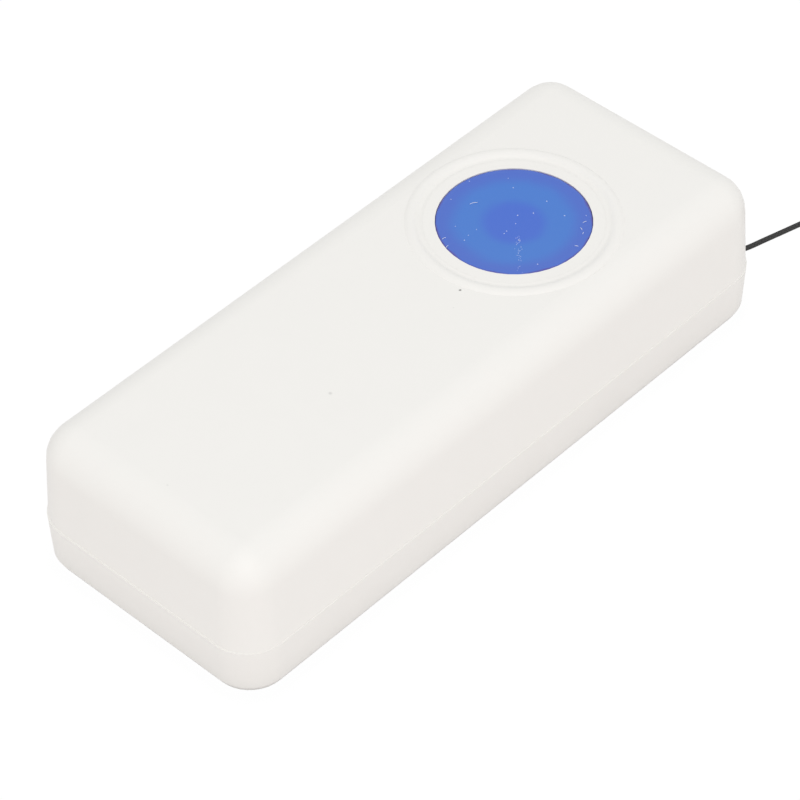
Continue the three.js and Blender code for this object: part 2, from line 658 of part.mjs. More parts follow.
// A conical contact spring, its wide end on the contact sheet and its narrow end at the cell
function contactSpring() {
  const steps = SPRING_TURNS * WIRE_STEPS;
  const points = Array.from({ length: steps + 1 }, (_, i) => {
    const part = i / steps;
    const radius = SPRING_WIDE + (SPRING_NARROW - SPRING_WIDE) * part;
    const angle = part * SPRING_TURNS * 2 * Math.PI;
    const z = SPRING_WIRE + part * (SPRING_LENGTH - 2 * SPRING_WIRE);
    return new THREE.Vector3(radius * Math.cos(angle), radius * Math.sin(angle), z);
  });
  return wire(points, SPRING_WIRE, steps);
}

function contactSheet(halfWidth) {
  return block([-halfWidth, -CONTACT_SHEET / 2, CONTACT_BOTTOM], [halfWidth, CONTACT_SHEET / 2, sheetTop]);
}

function boardContact() {
  const tab = block(
    [-CONTACT_TAB / 2, -CONTACT_SHEET / 2, cellZ],
    [CONTACT_TAB / 2, CONTACT_SHEET / 2, boardBottom - SEAT],
  );
  return joined(contactSheet(CONTACT_WIDTH / 2 - CONTACT_GAP), tab);
}

// Screws point up from the rear: head down, shank up, with a crossed recess in the head
function screw(headRadius, headHeight, shankRadius, length) {
  const reach = headRadius - CROSS_WIDTH;
  const half = CROSS_WIDTH / 2;
  return cut(
    revolved([
      [0, -headHeight], [headRadius - MERGE, -headHeight], [headRadius, -headHeight + MERGE], [headRadius, 0],
      [shankRadius, 0], [shankRadius, length - shankRadius], [shankRadius / 2, length], [0, length],
    ]),
    block([-reach, -half, -headHeight - THROUGH], [reach, half, -headHeight + CROSS_DEPTH]),
    block([-half, -reach, -headHeight - THROUGH], [half, reach, -headHeight + CROSS_DEPTH]),
  );
}

function screwTip() {
  return SCREW_RECESS - SEAT + SCREW_LENGTH;
}

function boardScrewTip() {
  return boardBottom - SEAT + BOARD_SCREW_LENGTH;
}

// Route of the cord from the knot inside the end wall to the coil, along the resting surface
const CORD_ROUTE = [
  [9.4, 48.3, 5],
  [9.4, 50.2, 5],
  [9.45, 51.6, 4.75],
  [9.7, 52.9, 3.7],
  [10.1, 54, 2.1],
  [10.6, 55.2, 0.85],
  [11.3, 56.9, 0.43],
  [12.4, 60.7, 0.43],
  [13.9, 66.3, 0.43],
  [15.3, 71.6, 0.43],
  [16.7, 76.2, 0.43],
  [18.2, 80, 0.43],
  [20.4, 82.55, 0.43],
];

function neckCord() {
  const points = CORD_ROUTE.map((point) => new THREE.Vector3(...point));
  return wire(points, CORD_RADIUS, CORD_STEPS, CORD_SIDES);
}

// Outer form of the coil that holds the rest of the cord's length
function cordCoil() {
  const half = COIL_WIDTH / 2;
  const middle = COIL_HEIGHT / 2;
  const section = new THREE.EllipseCurve(COIL_RADIUS, middle, half, middle, -Math.PI / 2, 1.5 * Math.PI)
    .getPoints(8)
    .map((point) => [point.x, point.y]);
  section[section.length - 1] = section[0];
  return revolved(section, ROUND_SIDES);
}

function knot() {
  return solid(new THREE.SphereGeometry(KNOT_RADIUS, 10, 6));
}

// Finishes: colour, roughness and metalness of each kind of piece
const FINISHES = {
  housingWhite: [0xf1f0ec, 0.5, 0],
  buttonBlue: [0x2f62c8, 0.45, 0],
  boardGreen: [0x1d5a3a, 0.5, 0],
  partBlack: [0x1b1b1d, 0.5, 0],
  lampClear: [0xe8ead8, 0.25, 0],
  metalBright: [0xc4c6c8, 0.3, 1],
  metalSpring: [0xb9bcbe, 0.25, 1],
  cellJacket: [0x3a3d42, 0.35, 0.3],
  cordGrey: [0x3b3b3c, 0.85, 0],
};

const pager = new THREE.Group();

function addTo(group, name, body, finish, place = [0, 0, 0], turn = [0, 0, 0]) {
  const [color, roughness, metalness] = FINISHES[finish];
  const mesh = new THREE.Mesh(surface(body), new THREE.MeshStandardMaterial({ color, roughness, metalness }));
  mesh.name = name;
  mesh.position.set(...place);
  mesh.rotation.set(...turn);
  group.add(mesh);
}

function section(x = 0, y = 0, z = 0) {
  const group = new THREE.Group();
  group.position.set(x, y, z);
  pager.add(group);
  return group;
}

// Housing
const housing = section();
addTo(housing, "front_cover", frontCover(), "housingWhite");
addTo(housing, "rear_cover", rearCover(), "housingWhite");
addTo(housing, "battery_door", batteryDoor(), "housingWhite");
addTo(housing, "call_button", callButton(), "buttonBlue", [0, buttonY, 0]);
atScrews((x, y) => [x, y]).forEach(([x, y], i) => {
  const body = screw(SCREW_HEAD_RADIUS, SCREW_HEAD_HEIGHT, SCREW_SHANK_RADIUS, SCREW_LENGTH);
  addTo(housing, `housing_screw_${i + 1}`, body, "metalBright", [x, y, SCREW_RECESS - SEAT]);
});

// Circuit board with the parts on its upper face
addTo(housing, "circuit_board", circuitBoard(), "boardGreen");
const upper = section(0, 0, boardTop + SEAT);
addTo(upper, "switch_body", switchBody(), "partBlack", [0, buttonY, 0]);
addTo(upper, "switch_plunger", switchPlunger(), "partBlack", [0, buttonY, 0]);
bothSides((side) => addTo(upper, side < 0 ? "lamp_left" : "lamp_right", standing(LAMP_SIZE), "lampClear",
  [side * LAMP_OFFSET, buttonY, 0]));
addTo(upper, "receiver_module", standing(RECEIVER_SIZE), "metalBright", [0, receiverY, 0]);
addTo(upper, "microcontroller", microcontroller(), "partBlack", [0, chipY, 0]);
addTo(upper, "crystal", crystal(), "metalBright", [crystalX, chipY, 0]);

// Parts and screws under the board
const under = section(0, 0, boardBottom - SEAT);
addTo(under, "buzzer", buzzer(), "partBlack", [0, buzzerY, 0]);
addTo(under, "capacitor", capacitor(), "partBlack", [-sidePartX, buzzerY, 0]);
addTo(under, "antenna_coil", antennaCoil(), "metalSpring", [sidePartX, antennaY, -ANTENNA_DROP]);
bothSides((side) => addTo(under, side < 0 ? "board_screw_left" : "board_screw_right",
  screw(BOARD_SCREW_HEAD, BOARD_SCREW_HEAD_HEIGHT, BOARD_SCREW_RADIUS, BOARD_SCREW_LENGTH), "metalBright",
  [side * fixingX, fixingY, 0]));

// Cells side by side with their nubs opposite ways, and the contacts at both ends of the bay
const power = section();
const sheetStart = bayStart + CONTACT_GAP + CONTACT_SHEET / 2;
const sheetEnd = bayEnd - CONTACT_GAP - CONTACT_SHEET / 2;
const seatStart = sheetStart + CONTACT_SHEET / 2 + CONTACT_GAP;
const seatEnd = sheetEnd - CONTACT_SHEET / 2 - CONTACT_GAP;
const towardsEnd = [-Math.PI / 2, 0, 0];
const towardsStart = [Math.PI / 2, 0, 0];
addTo(power, "battery_1", cell(), "cellJacket", [cellX, seatEnd - CELL_LENGTH, cellZ], towardsEnd);
addTo(power, "battery_2", cell(), "cellJacket", [-cellX, seatStart + CELL_LENGTH, cellZ], towardsStart);
addTo(power, "contact_negative", boardContact(), "metalBright", [cellX, sheetStart, 0]);
addTo(power, "contact_positive", boardContact(), "metalBright", [-cellX, sheetStart, 0]);
addTo(power, "contact_bridge", contactSheet(cellX + CONTACT_WIDTH / 2), "metalBright", [0, sheetEnd, 0]);
addTo(power, "contact_spring_1", contactSpring(), "metalSpring", [cellX, seatStart, cellZ], towardsEnd);
addTo(power, "contact_spring_2", contactSpring(), "metalSpring", [-cellX, seatEnd, cellZ], towardsStart);

// Neck cord with the stop knot inside the end wall and the tied knot at its far end
const cord = section();
addTo(cord, "neck_cord", neckCord(), "cordGrey");
addTo(cord, "neck_cord_coil", cordCoil(), "cordGrey", [...COIL_CENTRE, 0]);
const stopY = CORD_ROUTE[0][1] - CORD_GAP - KNOT_RADIUS;
const endX = COIL_CENTRE[0] + COIL_RADIUS + COIL_WIDTH / 2 + CORD_GAP + KNOT_RADIUS;
addTo(cord, "stop_knot", knot(), "cordGrey", [CORD_EXIT[0], stopY, CORD_EXIT[1]]);
addTo(cord, "end_knot", knot(), "cordGrey", [endX, COIL_CENTRE[1], KNOT_RADIUS]);

export default pager;
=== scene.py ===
"""Caregiver pager: white moulded housing, blue call button, braided neck cord and a plain studio.

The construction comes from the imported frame. This script dresses it: smooth housing mouldings, a
finely turned button with its dust, the cord at its full length, and the finish of every piece.
"""

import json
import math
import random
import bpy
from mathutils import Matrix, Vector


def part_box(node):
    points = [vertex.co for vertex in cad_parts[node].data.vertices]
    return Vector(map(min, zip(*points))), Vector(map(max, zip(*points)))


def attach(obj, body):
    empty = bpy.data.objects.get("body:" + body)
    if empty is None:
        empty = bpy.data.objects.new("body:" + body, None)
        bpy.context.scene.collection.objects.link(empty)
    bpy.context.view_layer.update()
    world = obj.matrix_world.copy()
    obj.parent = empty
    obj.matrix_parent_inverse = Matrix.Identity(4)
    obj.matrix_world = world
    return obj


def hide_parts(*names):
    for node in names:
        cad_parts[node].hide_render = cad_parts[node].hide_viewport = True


bl_info = {
    "name": "Caregiver Pager",
    "version": (1, 0, 0),
    "blender": (4, 5, 0),
    "location": "View3D > Sidebar > Pager",
    "description": "Dresses the packed pager and sets up its studio",
    "category": "Object",
}

import bmesh
import bpy
from bpy.props import FloatProperty, FloatVectorProperty, IntProperty, PointerProperty
from mathutils import Matrix, Vector
from mathutils.geometry import interpolate_bezier

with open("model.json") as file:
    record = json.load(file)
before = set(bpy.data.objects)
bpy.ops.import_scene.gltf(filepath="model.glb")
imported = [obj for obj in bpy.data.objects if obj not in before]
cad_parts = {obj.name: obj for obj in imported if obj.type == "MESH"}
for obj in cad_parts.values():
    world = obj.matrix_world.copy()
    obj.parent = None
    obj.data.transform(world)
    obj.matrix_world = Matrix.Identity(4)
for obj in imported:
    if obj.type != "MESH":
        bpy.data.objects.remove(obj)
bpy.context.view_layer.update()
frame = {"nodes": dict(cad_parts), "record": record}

MM = 0.001

# Places that the dressing takes from the frame
BUTTON_LOW, BUTTON_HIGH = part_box("call_button")
BUTTON_CENTRE = (BUTTON_LOW + BUTTON_HIGH) / 2
FRONT_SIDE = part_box("front_cover")[1].xy
FRONT_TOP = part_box("front_cover")[1].z
REAR_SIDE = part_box("rear_cover")[1].xy
BODY_OF = {
    node: body
    for body, nodes in frame["record"]["behaviour"]["bodies"].items()
    for node in nodes
}
SLOT_OF = {entry["node"]: entry["material_slot"] for entry in frame["record"]["subparts"]}

# The joint of the covers and the hole round the button: how near a point counts as on them, where
# they are, and how far the front's edges are moved there
TOUCH = 0.01 * MM
WALL_TOUCH = 0.05 * MM
SEAM_HEIGHT = 8.5 * MM
SEAM_CLOSE = 0.055 * MM
SEAM_DRAWN = 0.08 * MM
CORNER_RADIUS = 5.85 * MM
HOLE_RADIUS = 10.65 * MM
HOLE_DRAWN = 10.5 * MM

# Smooth shading: the reach that joins points, the bend that counts as flat, and the bend that
# counts as an edge on a turned shape
MERGE_REACH = 0.002 * MM
FLAT_ANGLE = math.radians(0.4)
TURNED_SHARP = math.radians(40)

# The button's profile, with the steps of its rounded edge and the rings of its dish
BUTTON_RIM = 10.45 * MM
BUTTON_TOP = BUTTON_HIGH.z + 0.26 * MM
BUTTON_HOLLOW = 8.65 * MM
BUTTON_POST = 1.7 * MM
BUTTON_FACE = 1.4 * MM
BUTTON_DISH = 0.35 * MM
BUTTON_ROUND = 0.22 * MM
FLANGE_THICKNESS = 0.8 * MM
FLANGE_BELOW_TOP = 1.8 * MM
ROUND_STEPS = 6
DISH_RINGS = 16

# The cord's route in millimetres, as in the part: from the knot inside the end wall to the coil
CORD_ROUTE = [
    (9.4, 48.3, 5.0),
    (9.4, 50.2, 5.0),
    (9.45, 51.6, 4.75),
    (9.7, 52.9, 3.7),
    (10.1, 54.0, 2.1),
    (10.6, 55.2, 0.85),
    (11.3, 56.9, 0.43),
    (12.4, 60.7, 0.43),
    (13.9, 66.3, 0.43),
    (15.3, 71.6, 0.43),
    (16.7, 76.2, 0.43),
    (18.2, 80.0, 0.43),
    (20.4, 82.55, 0.43),
]
ROUTE_STEPS = 6
CORD_SIDES = 8

# The coil in millimetres and degrees: turns in rows. COIL_CHANGE is the angle of a move from one
# place to the next, and COIL_LEAD that of the way in
COIL_CENTRE = (24.9, 76.6)
COIL_RADIUS = 4.3
COIL_ROWS = (5, 6, 6, 6, 4)
COIL_PITCH = 0.785
COIL_FLOOR = 0.43
COIL_CHANGE = 40
COIL_LEAD = 80
COIL_SAMPLES = 24

# The tail over the turns, in the same units: its radius, the angle of its way out, the least angle
# after that, where it goes down before its end and over what angle, and the way to the knot
TAIL_RADIUS = 7.2
TAIL_OUT = 150
TAIL_LEAST = 130
TAIL_DOWN = 170
TAIL_FALL = 125
KNOT_LEAD = 45
KNOT_RADIUS = 8.15
KNOT_HEIGHT = 0.95

# A knot: its steps, the share of its loop that is drawn, and its size in millimetres
KNOT_STEPS = 48
KNOT_SHARE = 0.97
KNOT_SIZE = 0.25

# Fibres on the button in millimetres and degrees: across, along, length and turn
FIBRES = [
    (-6.4, -0.9, 1.1, 62),
    (7.1, 6.1, 0.55, 75),
    (7.6, 4.8, 0.5, -20),
    (8.4, 4.3, 0.35, 110),
    (9.4, 1.8, 0.5, 25),
    (-4.5, -8.8, 0.6, 80),
    (-3.1, -9.7, 0.5, 100),
    (2.9, -2.2, 0.3, 40),
]
FIBRE_RADIUS = 0.04 * MM
FIBRE_BEND = 0.12
FIBRE_STEPS = 6
FIBRE_SIDES = 5

# Dust flecks on the button in millimetres, across and along, then the most they turn and the least
# and most they are stretched
FLECKS = [
    (-9.1, -2.4), (6.4, 7.2), (4.2, 5.4), (0.5, 6.0), (0.7, 3.1), (-0.6, 1.4), (0.3, 0.0),
    (0.4, -1.9), (0.5, -2.5), (-2.7, -4.4), (-5.1, -5.9), (-2.7, -6.0), (-2.4, -7.1),
    (7.9, -4.2), (-4.6, 5.0), (-6.3, 5.9), (-9.7, 1.9),
]
FLECK_TURN = (0.4, 0.4, 2 * math.pi)
FLECK_LEAST = (0.45, 0.45, 0.3)
FLECK_MOST = (1.3, 0.9, 0.5)

# The dusty streak in millimetres: its ends, its spread, and the least and largest size in it
DRIFT = ((2.2, -1.6), (7.2, -7.0))
DRIFT_SPREAD = 0.22
DRIFT_SIZES = (0.35, 0.8)

# Marks on the white front in millimetres: across, along, radius and darkness. They lie just over
# its flat face
MARKS = [
    (3.8, 6.0, 0.2, 0.95),
    (4.5, -19.0, 0.3, 0.22),
    (5.4, 3.0, 0.13, 0.12),
    (0.8, -44.0, 0.2, 0.1),
    (11.5, 27.9, 0.14, 0.12),
]
MARK_HEIGHT = FRONT_TOP - 0.34 * MM
MARK_COLOR = (0.05, 0.048, 0.045)

# A mark's outline: how fine and how strong its raggedness is, and its reach in radii without it
RAGGED_SCALE = 3000.0
RAGGED_SHARE = 0.9
MARK_REACH = 1.6

# The grain that finishes share: its height, and how broad and how strong its change of gloss is
GRAIN_HEIGHT = 0.02 * MM
GLOSS_SCALE = 90.0
GLOSS_CHANGE = 0.12

# Finish of the white plastic: its bump, and the scale, share and depth of its mottle
WHITE_BUMP = 0.22
MOTTLE_SCALE = 240.0
MOTTLE_SHARE = 0.5
MOTTLE_DEPTH = 0.97

# Finish of the blue button, and its tones by their share of TONE_REACH from the centre, which a
# cloudy noise of CLOUD_REACH makes uneven. The tones are partly the silicone's own colour over its
# post, hollow and skirt and partly painted shading of its dished face; the last is a painted shade at
# its rim
BLUE_ROUGHNESS = 0.42
BLUE_GRAIN = 0.16 * MM
BLUE_BUMP = 0.18
CLOUD_SCALE = 260.0
CLOUD_REACH = 1.2 * MM
TONE_REACH = 11.0 * MM
BUTTON_TONES_AND_SHADE = (
    (0.34, "centre_color"), (0.53, "band_color"), (0.68, "band_color"),
    (0.92, "rim_color"), (0.975, "rim_color"), (1.0, "painted_edge_shade"),
)

# Finish of the cord: gloss, bump, how much paler its crests are painted as a sheen, and the scale of
# its fibres
BRAID_ROUGHNESS = 0.85
BRAID_SHINE = 0.25
BRAID_BUMP = 0.6
BRAID_DEPTH = 0.06 * MM
BRAID_CREST_SHEEN = 3.2
FIBRE_SCALE = 12.0

# Colours of the board, and the scale and width of its tracks
BOARD_GREEN = (0.02, 0.11, 0.06)
BOARD_LIGHTER = (0.024, 0.13, 0.07)
BOARD_TRACK = (0.05, 0.2, 0.1)
TRACK_SCALE = 260.0
TRACK_WIDTH = 0.03

# Colours of the cells, and where a cell's coppery end begins, from the middle
CELL_DARK = (0.02, 0.022, 0.026)
CELL_COPPER = (0.42, 0.2, 0.09)
CELL_BAND = 13.0 * MM

# Plain finishes: name, colour, roughness, grain in millimetres, bump and metallic
PLAIN_FINISHES = {
    "part_black": ("Black Moulding", (0.012, 0.012, 0.013), 0.45, 0.3, 0.25, 0.0),
    "lamp_clear": ("Lamp Resin", (0.75, 0.74, 0.6), 0.15, 1.0, 0.02, 0.0),
    "metal_bright": ("Plated Steel", (0.6, 0.6, 0.61), 0.28, 0.4, 0.1, 1.0),
    "metal_spring": ("Plated Wire", (0.55, 0.55, 0.56), 0.24, 0.4, 0.1, 1.0),
    "dust": ("Pale Dust", (0.72, 0.78, 0.94), 0.8, 0.1, 0.25, 0.0),
}

# The studio's lamps: their colour, and each one's setting, name, width and place
LAMP_COLOR = (1.0, 0.945, 0.94)
LAMPS = (
    ("key", "Key Light", 0.7, (0.48, -0.5, 0.75)),
    ("fill", "Fill Light", 0.8, (0.9, 0.2, 0.5)),
)

# The studio's floor: half its width, a painted shadow colour where the part meets it and its own
# colour away from there, the reach of that painted shadow, and how brightly and how far it glows for
# rays that see it
FLOOR_REACH = 2
FLOOR_PAINTED_SHADOW = (0.2, 0.19, 0.185)
FLOOR_COLOR = (0.83, 0.79, 0.78)
PAINTED_SHADOW_REACH = 2.2 * MM
FLOOR_GLOW = 1.02
FLOOR_SHARE = 0.97

# The camera's near limit, and the shift of its lens in widths of the picture
LENS_NEAR = 0.01
LENS_SHIFT = (-0.00125, 0.00125)

# Round pieces that are dressed with a smooth copy; the rest keep their own solids
SMOOTH_PIECES = (
    "rear_cover", "battery_door", "battery_1", "battery_2", "contact_spring_1", "contact_spring_2",
    "housing_screw_1", "housing_screw_2", "housing_screw_3", "housing_screw_4",
)


class PagerHousingSettings(bpy.types.PropertyGroup):
    """Finish of the white mouldings"""

    color: FloatVectorProperty(
        name="Plastic", description="Colour of the white mouldings", subtype="COLOR",
        size=3, min=0, max=1, default=(0.880, 0.875, 0.845),
    )
    roughness: FloatProperty(
        name="Roughness", description="Roughness of the satin plastic", subtype="FACTOR",
        min=0, max=1, default=0.48,
    )
    grain: FloatProperty(
        name="Grain", description="Size of the moulded grain", unit="LENGTH", default=0.00022,
    )
    sharp_angle: FloatProperty(
        name="Sharp Angle", description="Edges that bend more than this stay sharp",
        subtype="ANGLE", default=math.radians(33),
    )


class PagerButtonSettings(bpy.types.PropertyGroup):
    """Shape, colours with painted shading, and dust of the call button"""

    segments: IntProperty(name="Segments", description="Steps round the button", default=144)
    # These tones are partly the silicone's own colour and partly painted shading of the dished face
    centre_color: FloatVectorProperty(
        name="Centre", description="Colour over the press post", subtype="COLOR",
        size=3, min=0, max=1, default=(0.049, 0.144, 0.622),
    )
    band_color: FloatVectorProperty(
        name="Band", description="Colour over the hollow", subtype="COLOR",
        size=3, min=0, max=1, default=(0.050, 0.189, 0.620),
    )
    rim_color: FloatVectorProperty(
        name="Rim", description="Colour over the skirt", subtype="COLOR",
        size=3, min=0, max=1, default=(0.061, 0.145, 0.580),
    )
    # Painted shade: a darker rim where the button's edge falls into shade
    painted_edge_shade: FloatVectorProperty(
        name="Edge", description="Colour at the outer edge", subtype="COLOR",
        size=3, min=0, max=1, default=(0.085, 0.085, 0.40),
    )
    fleck: FloatProperty(
        name="Fleck", description="Radius of a dust fleck", unit="LENGTH", default=0.0001,
    )
    drift: IntProperty(name="Drift", description="Flecks in the dusty streak", default=46)
    seed: IntProperty(name="Seed", description="Seed of the dust", default=7)


class PagerCordSettings(bpy.types.PropertyGroup):
    """Size and braid of the neck cord"""

    length: FloatProperty(
        name="Length", description="Whole length of the cord", unit="LENGTH", default=0.8,
    )
    diameter: FloatProperty(
        name="Diameter", description="Thickness of the cord", unit="LENGTH", default=0.00075,
    )
    strands: IntProperty(name="Strands", description="Strands wound each way", default=4)
    color: FloatVectorProperty(
        name="Colour", description="Colour of the braid", subtype="COLOR",
        size=3, min=0, max=1, default=(0.030, 0.030, 0.030),
    )


class PagerStageSettings(bpy.types.PropertyGroup):
    """Camera and light of the studio"""

    azimuth: FloatProperty(
        name="Azimuth", description="Turn of the camera", subtype="ANGLE",
        default=math.radians(43.894),
    )
    elevation: FloatProperty(
        name="Elevation", description="Height angle of the camera", subtype="ANGLE",
        default=math.radians(44.888),
    )
    roll: FloatProperty(
        name="Roll", description="Tilt of the picture", subtype="ANGLE",
        default=math.radians(-1.162),
    )
    distance: FloatProperty(
        name="Distance", description="From the aim to the camera", unit="LENGTH", default=0.473709,
    )
    aim: FloatVectorProperty(
        name="Aim", description="Point on the floor at the picture's middle",
        subtype="TRANSLATION", size=3, default=(-0.0039972, 0.0026468, 0.0),
    )
    lens: FloatProperty(name="Lens", description="Focal length in millimetres", default=158.022)
    sky: FloatProperty(name="Sky", description="Light from all round", default=0.85)
    key: FloatProperty(name="Key", description="Key light in watts", default=2.2)
    fill: FloatProperty(name="Fill", description="Fill light in watts", default=0.4)


def add_node(tree, kind, values=None, links=None, **options):
    """A node with its options, its sockets' values and the sockets that feed it."""
    node = tree.nodes.new(kind)
    for key, value in options.items():
        setattr(node, key, value)
    for key, value in (values or {}).items():
        node.inputs[key].default_value = value
    for key, source in (links or {}).items():
        tree.links.new(source, node.inputs[key])
    return node


def feed(tree, socket, value):
    """Give a socket its source, its number or its colour, or leave it for None."""
    if isinstance(value, bpy.types.NodeSocket):
        tree.links.new(value, socket)
    elif isinstance(value, (int, float)):
        socket.default_value = value
    elif value is not None:
        socket.default_value = (*value, 1)


def math_node(tree, operation, *values, clamp=False):
    """The result of a sum on numbers and sockets."""
    node = add_node(tree, "ShaderNodeMath", operation=operation, use_clamp=clamp)
    for socket, value in zip(node.inputs, values):
        feed(tree, socket, value)
    return node.outputs[0]


def vector_node(tree, operation, source, other=(0, 0, 0)):
    """The result of a sum on a vector's socket and three numbers."""
    node = add_node(tree, "ShaderNodeVectorMath", {1: other}, {0: source}, operation=operation)
    return node.outputs["Value" if operation == "LENGTH" else "Vector"]


def noise(tree, vector, scale, detail, roughness=0.5):
    """The value of a noise, whose scale is a number or a socket."""
    node = add_node(tree, "ShaderNodeTexNoise", {"Detail": detail, "Roughness": roughness},
                    {"Vector": vector})
    feed(tree, node.inputs["Scale"], scale)
    return node.outputs["Fac"]


def mix_color(tree, factor, first, second):
    """The mixed colour of two, by a factor."""
    node = add_node(tree, "ShaderNodeMix", data_type="RGBA")
    for index, value in ((0, factor), (6, first), (7, second)):
        feed(tree, node.inputs[index], value)
    return node.outputs[2]


def mix_shaders(tree, factor, first, second):
    """A node that mixes the shaders of two others."""
    return add_node(tree, "ShaderNodeMixShader", None, {
        0: factor, 1: first.outputs[0], 2: second.outputs[0],
    })


def cleared_tree(owner):
    """The node tree of a material or world, empty."""
    owner.use_nodes = True
    owner.node_tree.nodes.clear()
    return owner.node_tree


def new_object(name, data):
    """An object of the scene, from its data."""
    made = bpy.data.objects.new(name, data)
    bpy.context.scene.collection.objects.link(made)
    return made


def finished_mesh(name, shape):
    """The mesh of a shape that is complete, which is freed."""
    mesh = bpy.data.meshes.new(name)
    shape.to_mesh(mesh)
    shape.free()
    return mesh


def new_group(name, inputs, outputs):
    """A shader node group with its interface: its tree, given values and result sockets."""
    tree = bpy.data.node_groups.new(name, "ShaderNodeTree")
    for label, kind, default in inputs:
        socket = tree.interface.new_socket(label, in_out="INPUT", socket_type=kind)
        socket.default_value = default
    for label in outputs:
        tree.interface.new_socket(label, in_out="OUTPUT", socket_type="NodeSocketFloat")
    return tree, tree.nodes.new("NodeGroupInput").outputs, tree.nodes.new("NodeGroupOutput").inputs


def grain_group():
    """Fine moulded grain, and a slow change of gloss over it."""
    tree, given, result = new_group(
        "Moulded Grain",
        [("Position", "NodeSocketVector", (0, 0, 0)), ("Grain Size", "NodeSocketFloat", 0.0002)],
        ["Height", "Gloss"],
    )
    scale = math_node(tree, "DIVIDE", 1.0, given["Grain Size"])
    fine = noise(tree, given["Position"], scale, detail=3.0, roughness=0.6)
    broad = noise(tree, given["Position"], GLOSS_SCALE, detail=3.0)
    tree.links.new(fine, result["Height"])
    tree.links.new(math_node(tree, "SUBTRACT", broad, 0.5), result["Gloss"])
    return tree


def mark_group():
    """A ragged round mark at one place, added to the marks before it."""
    tree, given, result = new_group(
        "Surface Mark",
        [("Position", "NodeSocketVector", (0, 0, 0)), ("Centre", "NodeSocketVector", (0, 0, 0)),
         ("Radius", "NodeSocketFloat", 0.0002), ("Darkness", "NodeSocketFloat", 0.5),
         ("Before", "NodeSocketFloat", 0.0)],
        ["Mask"],
    )
    ragged = noise(tree, given["Position"], RAGGED_SCALE, detail=2.0)
    gap = add_node(tree, "ShaderNodeVectorMath", None,
                   {0: given["Position"], 1: given["Centre"]}, operation="DISTANCE")
    ratio = math_node(tree, "DIVIDE", gap.outputs["Value"], given["Radius"])
    rough = math_node(tree, "MULTIPLY_ADD", ragged, RAGGED_SHARE, ratio)
    spot = math_node(tree, "SUBTRACT", MARK_REACH, rough, clamp=True)
    total = math_node(tree, "MULTIPLY_ADD", spot, given["Darkness"], given["Before"])
    tree.links.new(total, result["Mask"])
    return tree


def braid_group():
    """Strands wound both ways over and under each other, on the cord's own UV map."""
    tree, given, result = new_group(
        "Braid", [("Strands", "NodeSocketFloat", 4.0)], ["Height", "Fibre"])
    uv = add_node(tree, "ShaderNodeUVMap", uv_map="Along").outputs[0]
    split = add_node(tree, "ShaderNodeSeparateXYZ", None, {0: uv}).outputs
    crests = []
    lanes = []
    for side in ("ADD", "SUBTRACT"):
        turned = math_node(tree, side, split["Y"], split["X"])
        lane = math_node(tree, "MULTIPLY", turned, given["Strands"])
        part = math_node(tree, "MULTIPLY", math_node(tree, "FRACT", lane), math.pi)
        crests.append(math_node(tree, "SINE", part))
        lanes.append(math_node(tree, "FLOOR", lane))
    over = math_node(tree, "PINGPONG", math_node(tree, "ADD", *lanes), 1.0)
    mixed = add_node(tree, "ShaderNodeMix", None, {0: over, 2: crests[0], 3: crests[1]})
    tree.links.new(mixed.outputs[0], result["Height"])
    tree.links.new(noise(tree, uv, FIBRE_SCALE, detail=2.0), result["Fibre"])
    return tree


def new_material(name, color, roughness, metallic=0.0):
    """A material with a bare Principled BSDF, ready for its nodes."""
    material = bpy.data.materials.new(name)
    tree = cleared_tree(material)
    shader = add_node(tree, "ShaderNodeBsdfPrincipled", {
        "Base Color": (*color, 1), "Roughness": roughness, "Metallic": metallic,
    })
    add_node(tree, "ShaderNodeOutputMaterial", None, {"Surface": shader.outputs[0]})
    return material, tree, shader


def add_bump(tree, shader, height, strength, distance):
    """Bend a shader's normals by a height."""
    bump = add_node(tree, "ShaderNodeBump", {"Strength": strength, "Distance": distance},
                    {"Height": height})
    tree.links.new(bump.outputs[0], shader.inputs["Normal"])


def grained(name, groups, color, roughness, grain, bump, metallic=0.0):
    """A finish with the shared grain in its bump and its gloss."""
    material, tree, shader = new_material(name, color, roughness, metallic)
    place = add_node(tree, "ShaderNodeTexCoord").outputs["Object"]
    worn = add_node(tree, "ShaderNodeGroup", {"Grain Size": grain}, {"Position": place},
                    node_tree=groups["grain"]).outputs
    level = math_node(tree, "MULTIPLY_ADD", worn["Gloss"], GLOSS_CHANGE, roughness)
    tree.links.new(level, shader.inputs["Roughness"])
    add_bump(tree, shader, worn["Height"], bump, GRAIN_HEIGHT)
    return material, tree, shader, place


def white_plastic(groups, settings):
    """Satin white plastic with a faint mottle and a few marks of use on its front."""
    material, tree, shader, place = grained(
        "White Satin Plastic", groups, settings.color, settings.roughness, settings.grain, WHITE_BUMP)
    mottle = noise(tree, place, MOTTLE_SCALE, detail=4.0)
    share = math_node(tree, "MULTIPLY", mottle, MOTTLE_SHARE)
    deeper = [MOTTLE_DEPTH * part for part in settings.color]
    tone = mix_color(tree, share, settings.color, deeper)
    mask = None
    for across, along, radius, darkness in MARKS:
        mark = add_node(tree, "ShaderNodeGroup", {
            "Centre": (across * MM, along * MM, MARK_HEIGHT), "Radius": radius * MM,
            "Darkness": darkness,
        }, {"Position": place}, node_tree=groups["mark"])
        feed(tree, mark.inputs["Before"], mask)
        mask = mark.outputs["Mask"]
    tree.links.new(mix_color(tree, mask, tone, MARK_COLOR), shader.inputs["Base Color"])
    return material


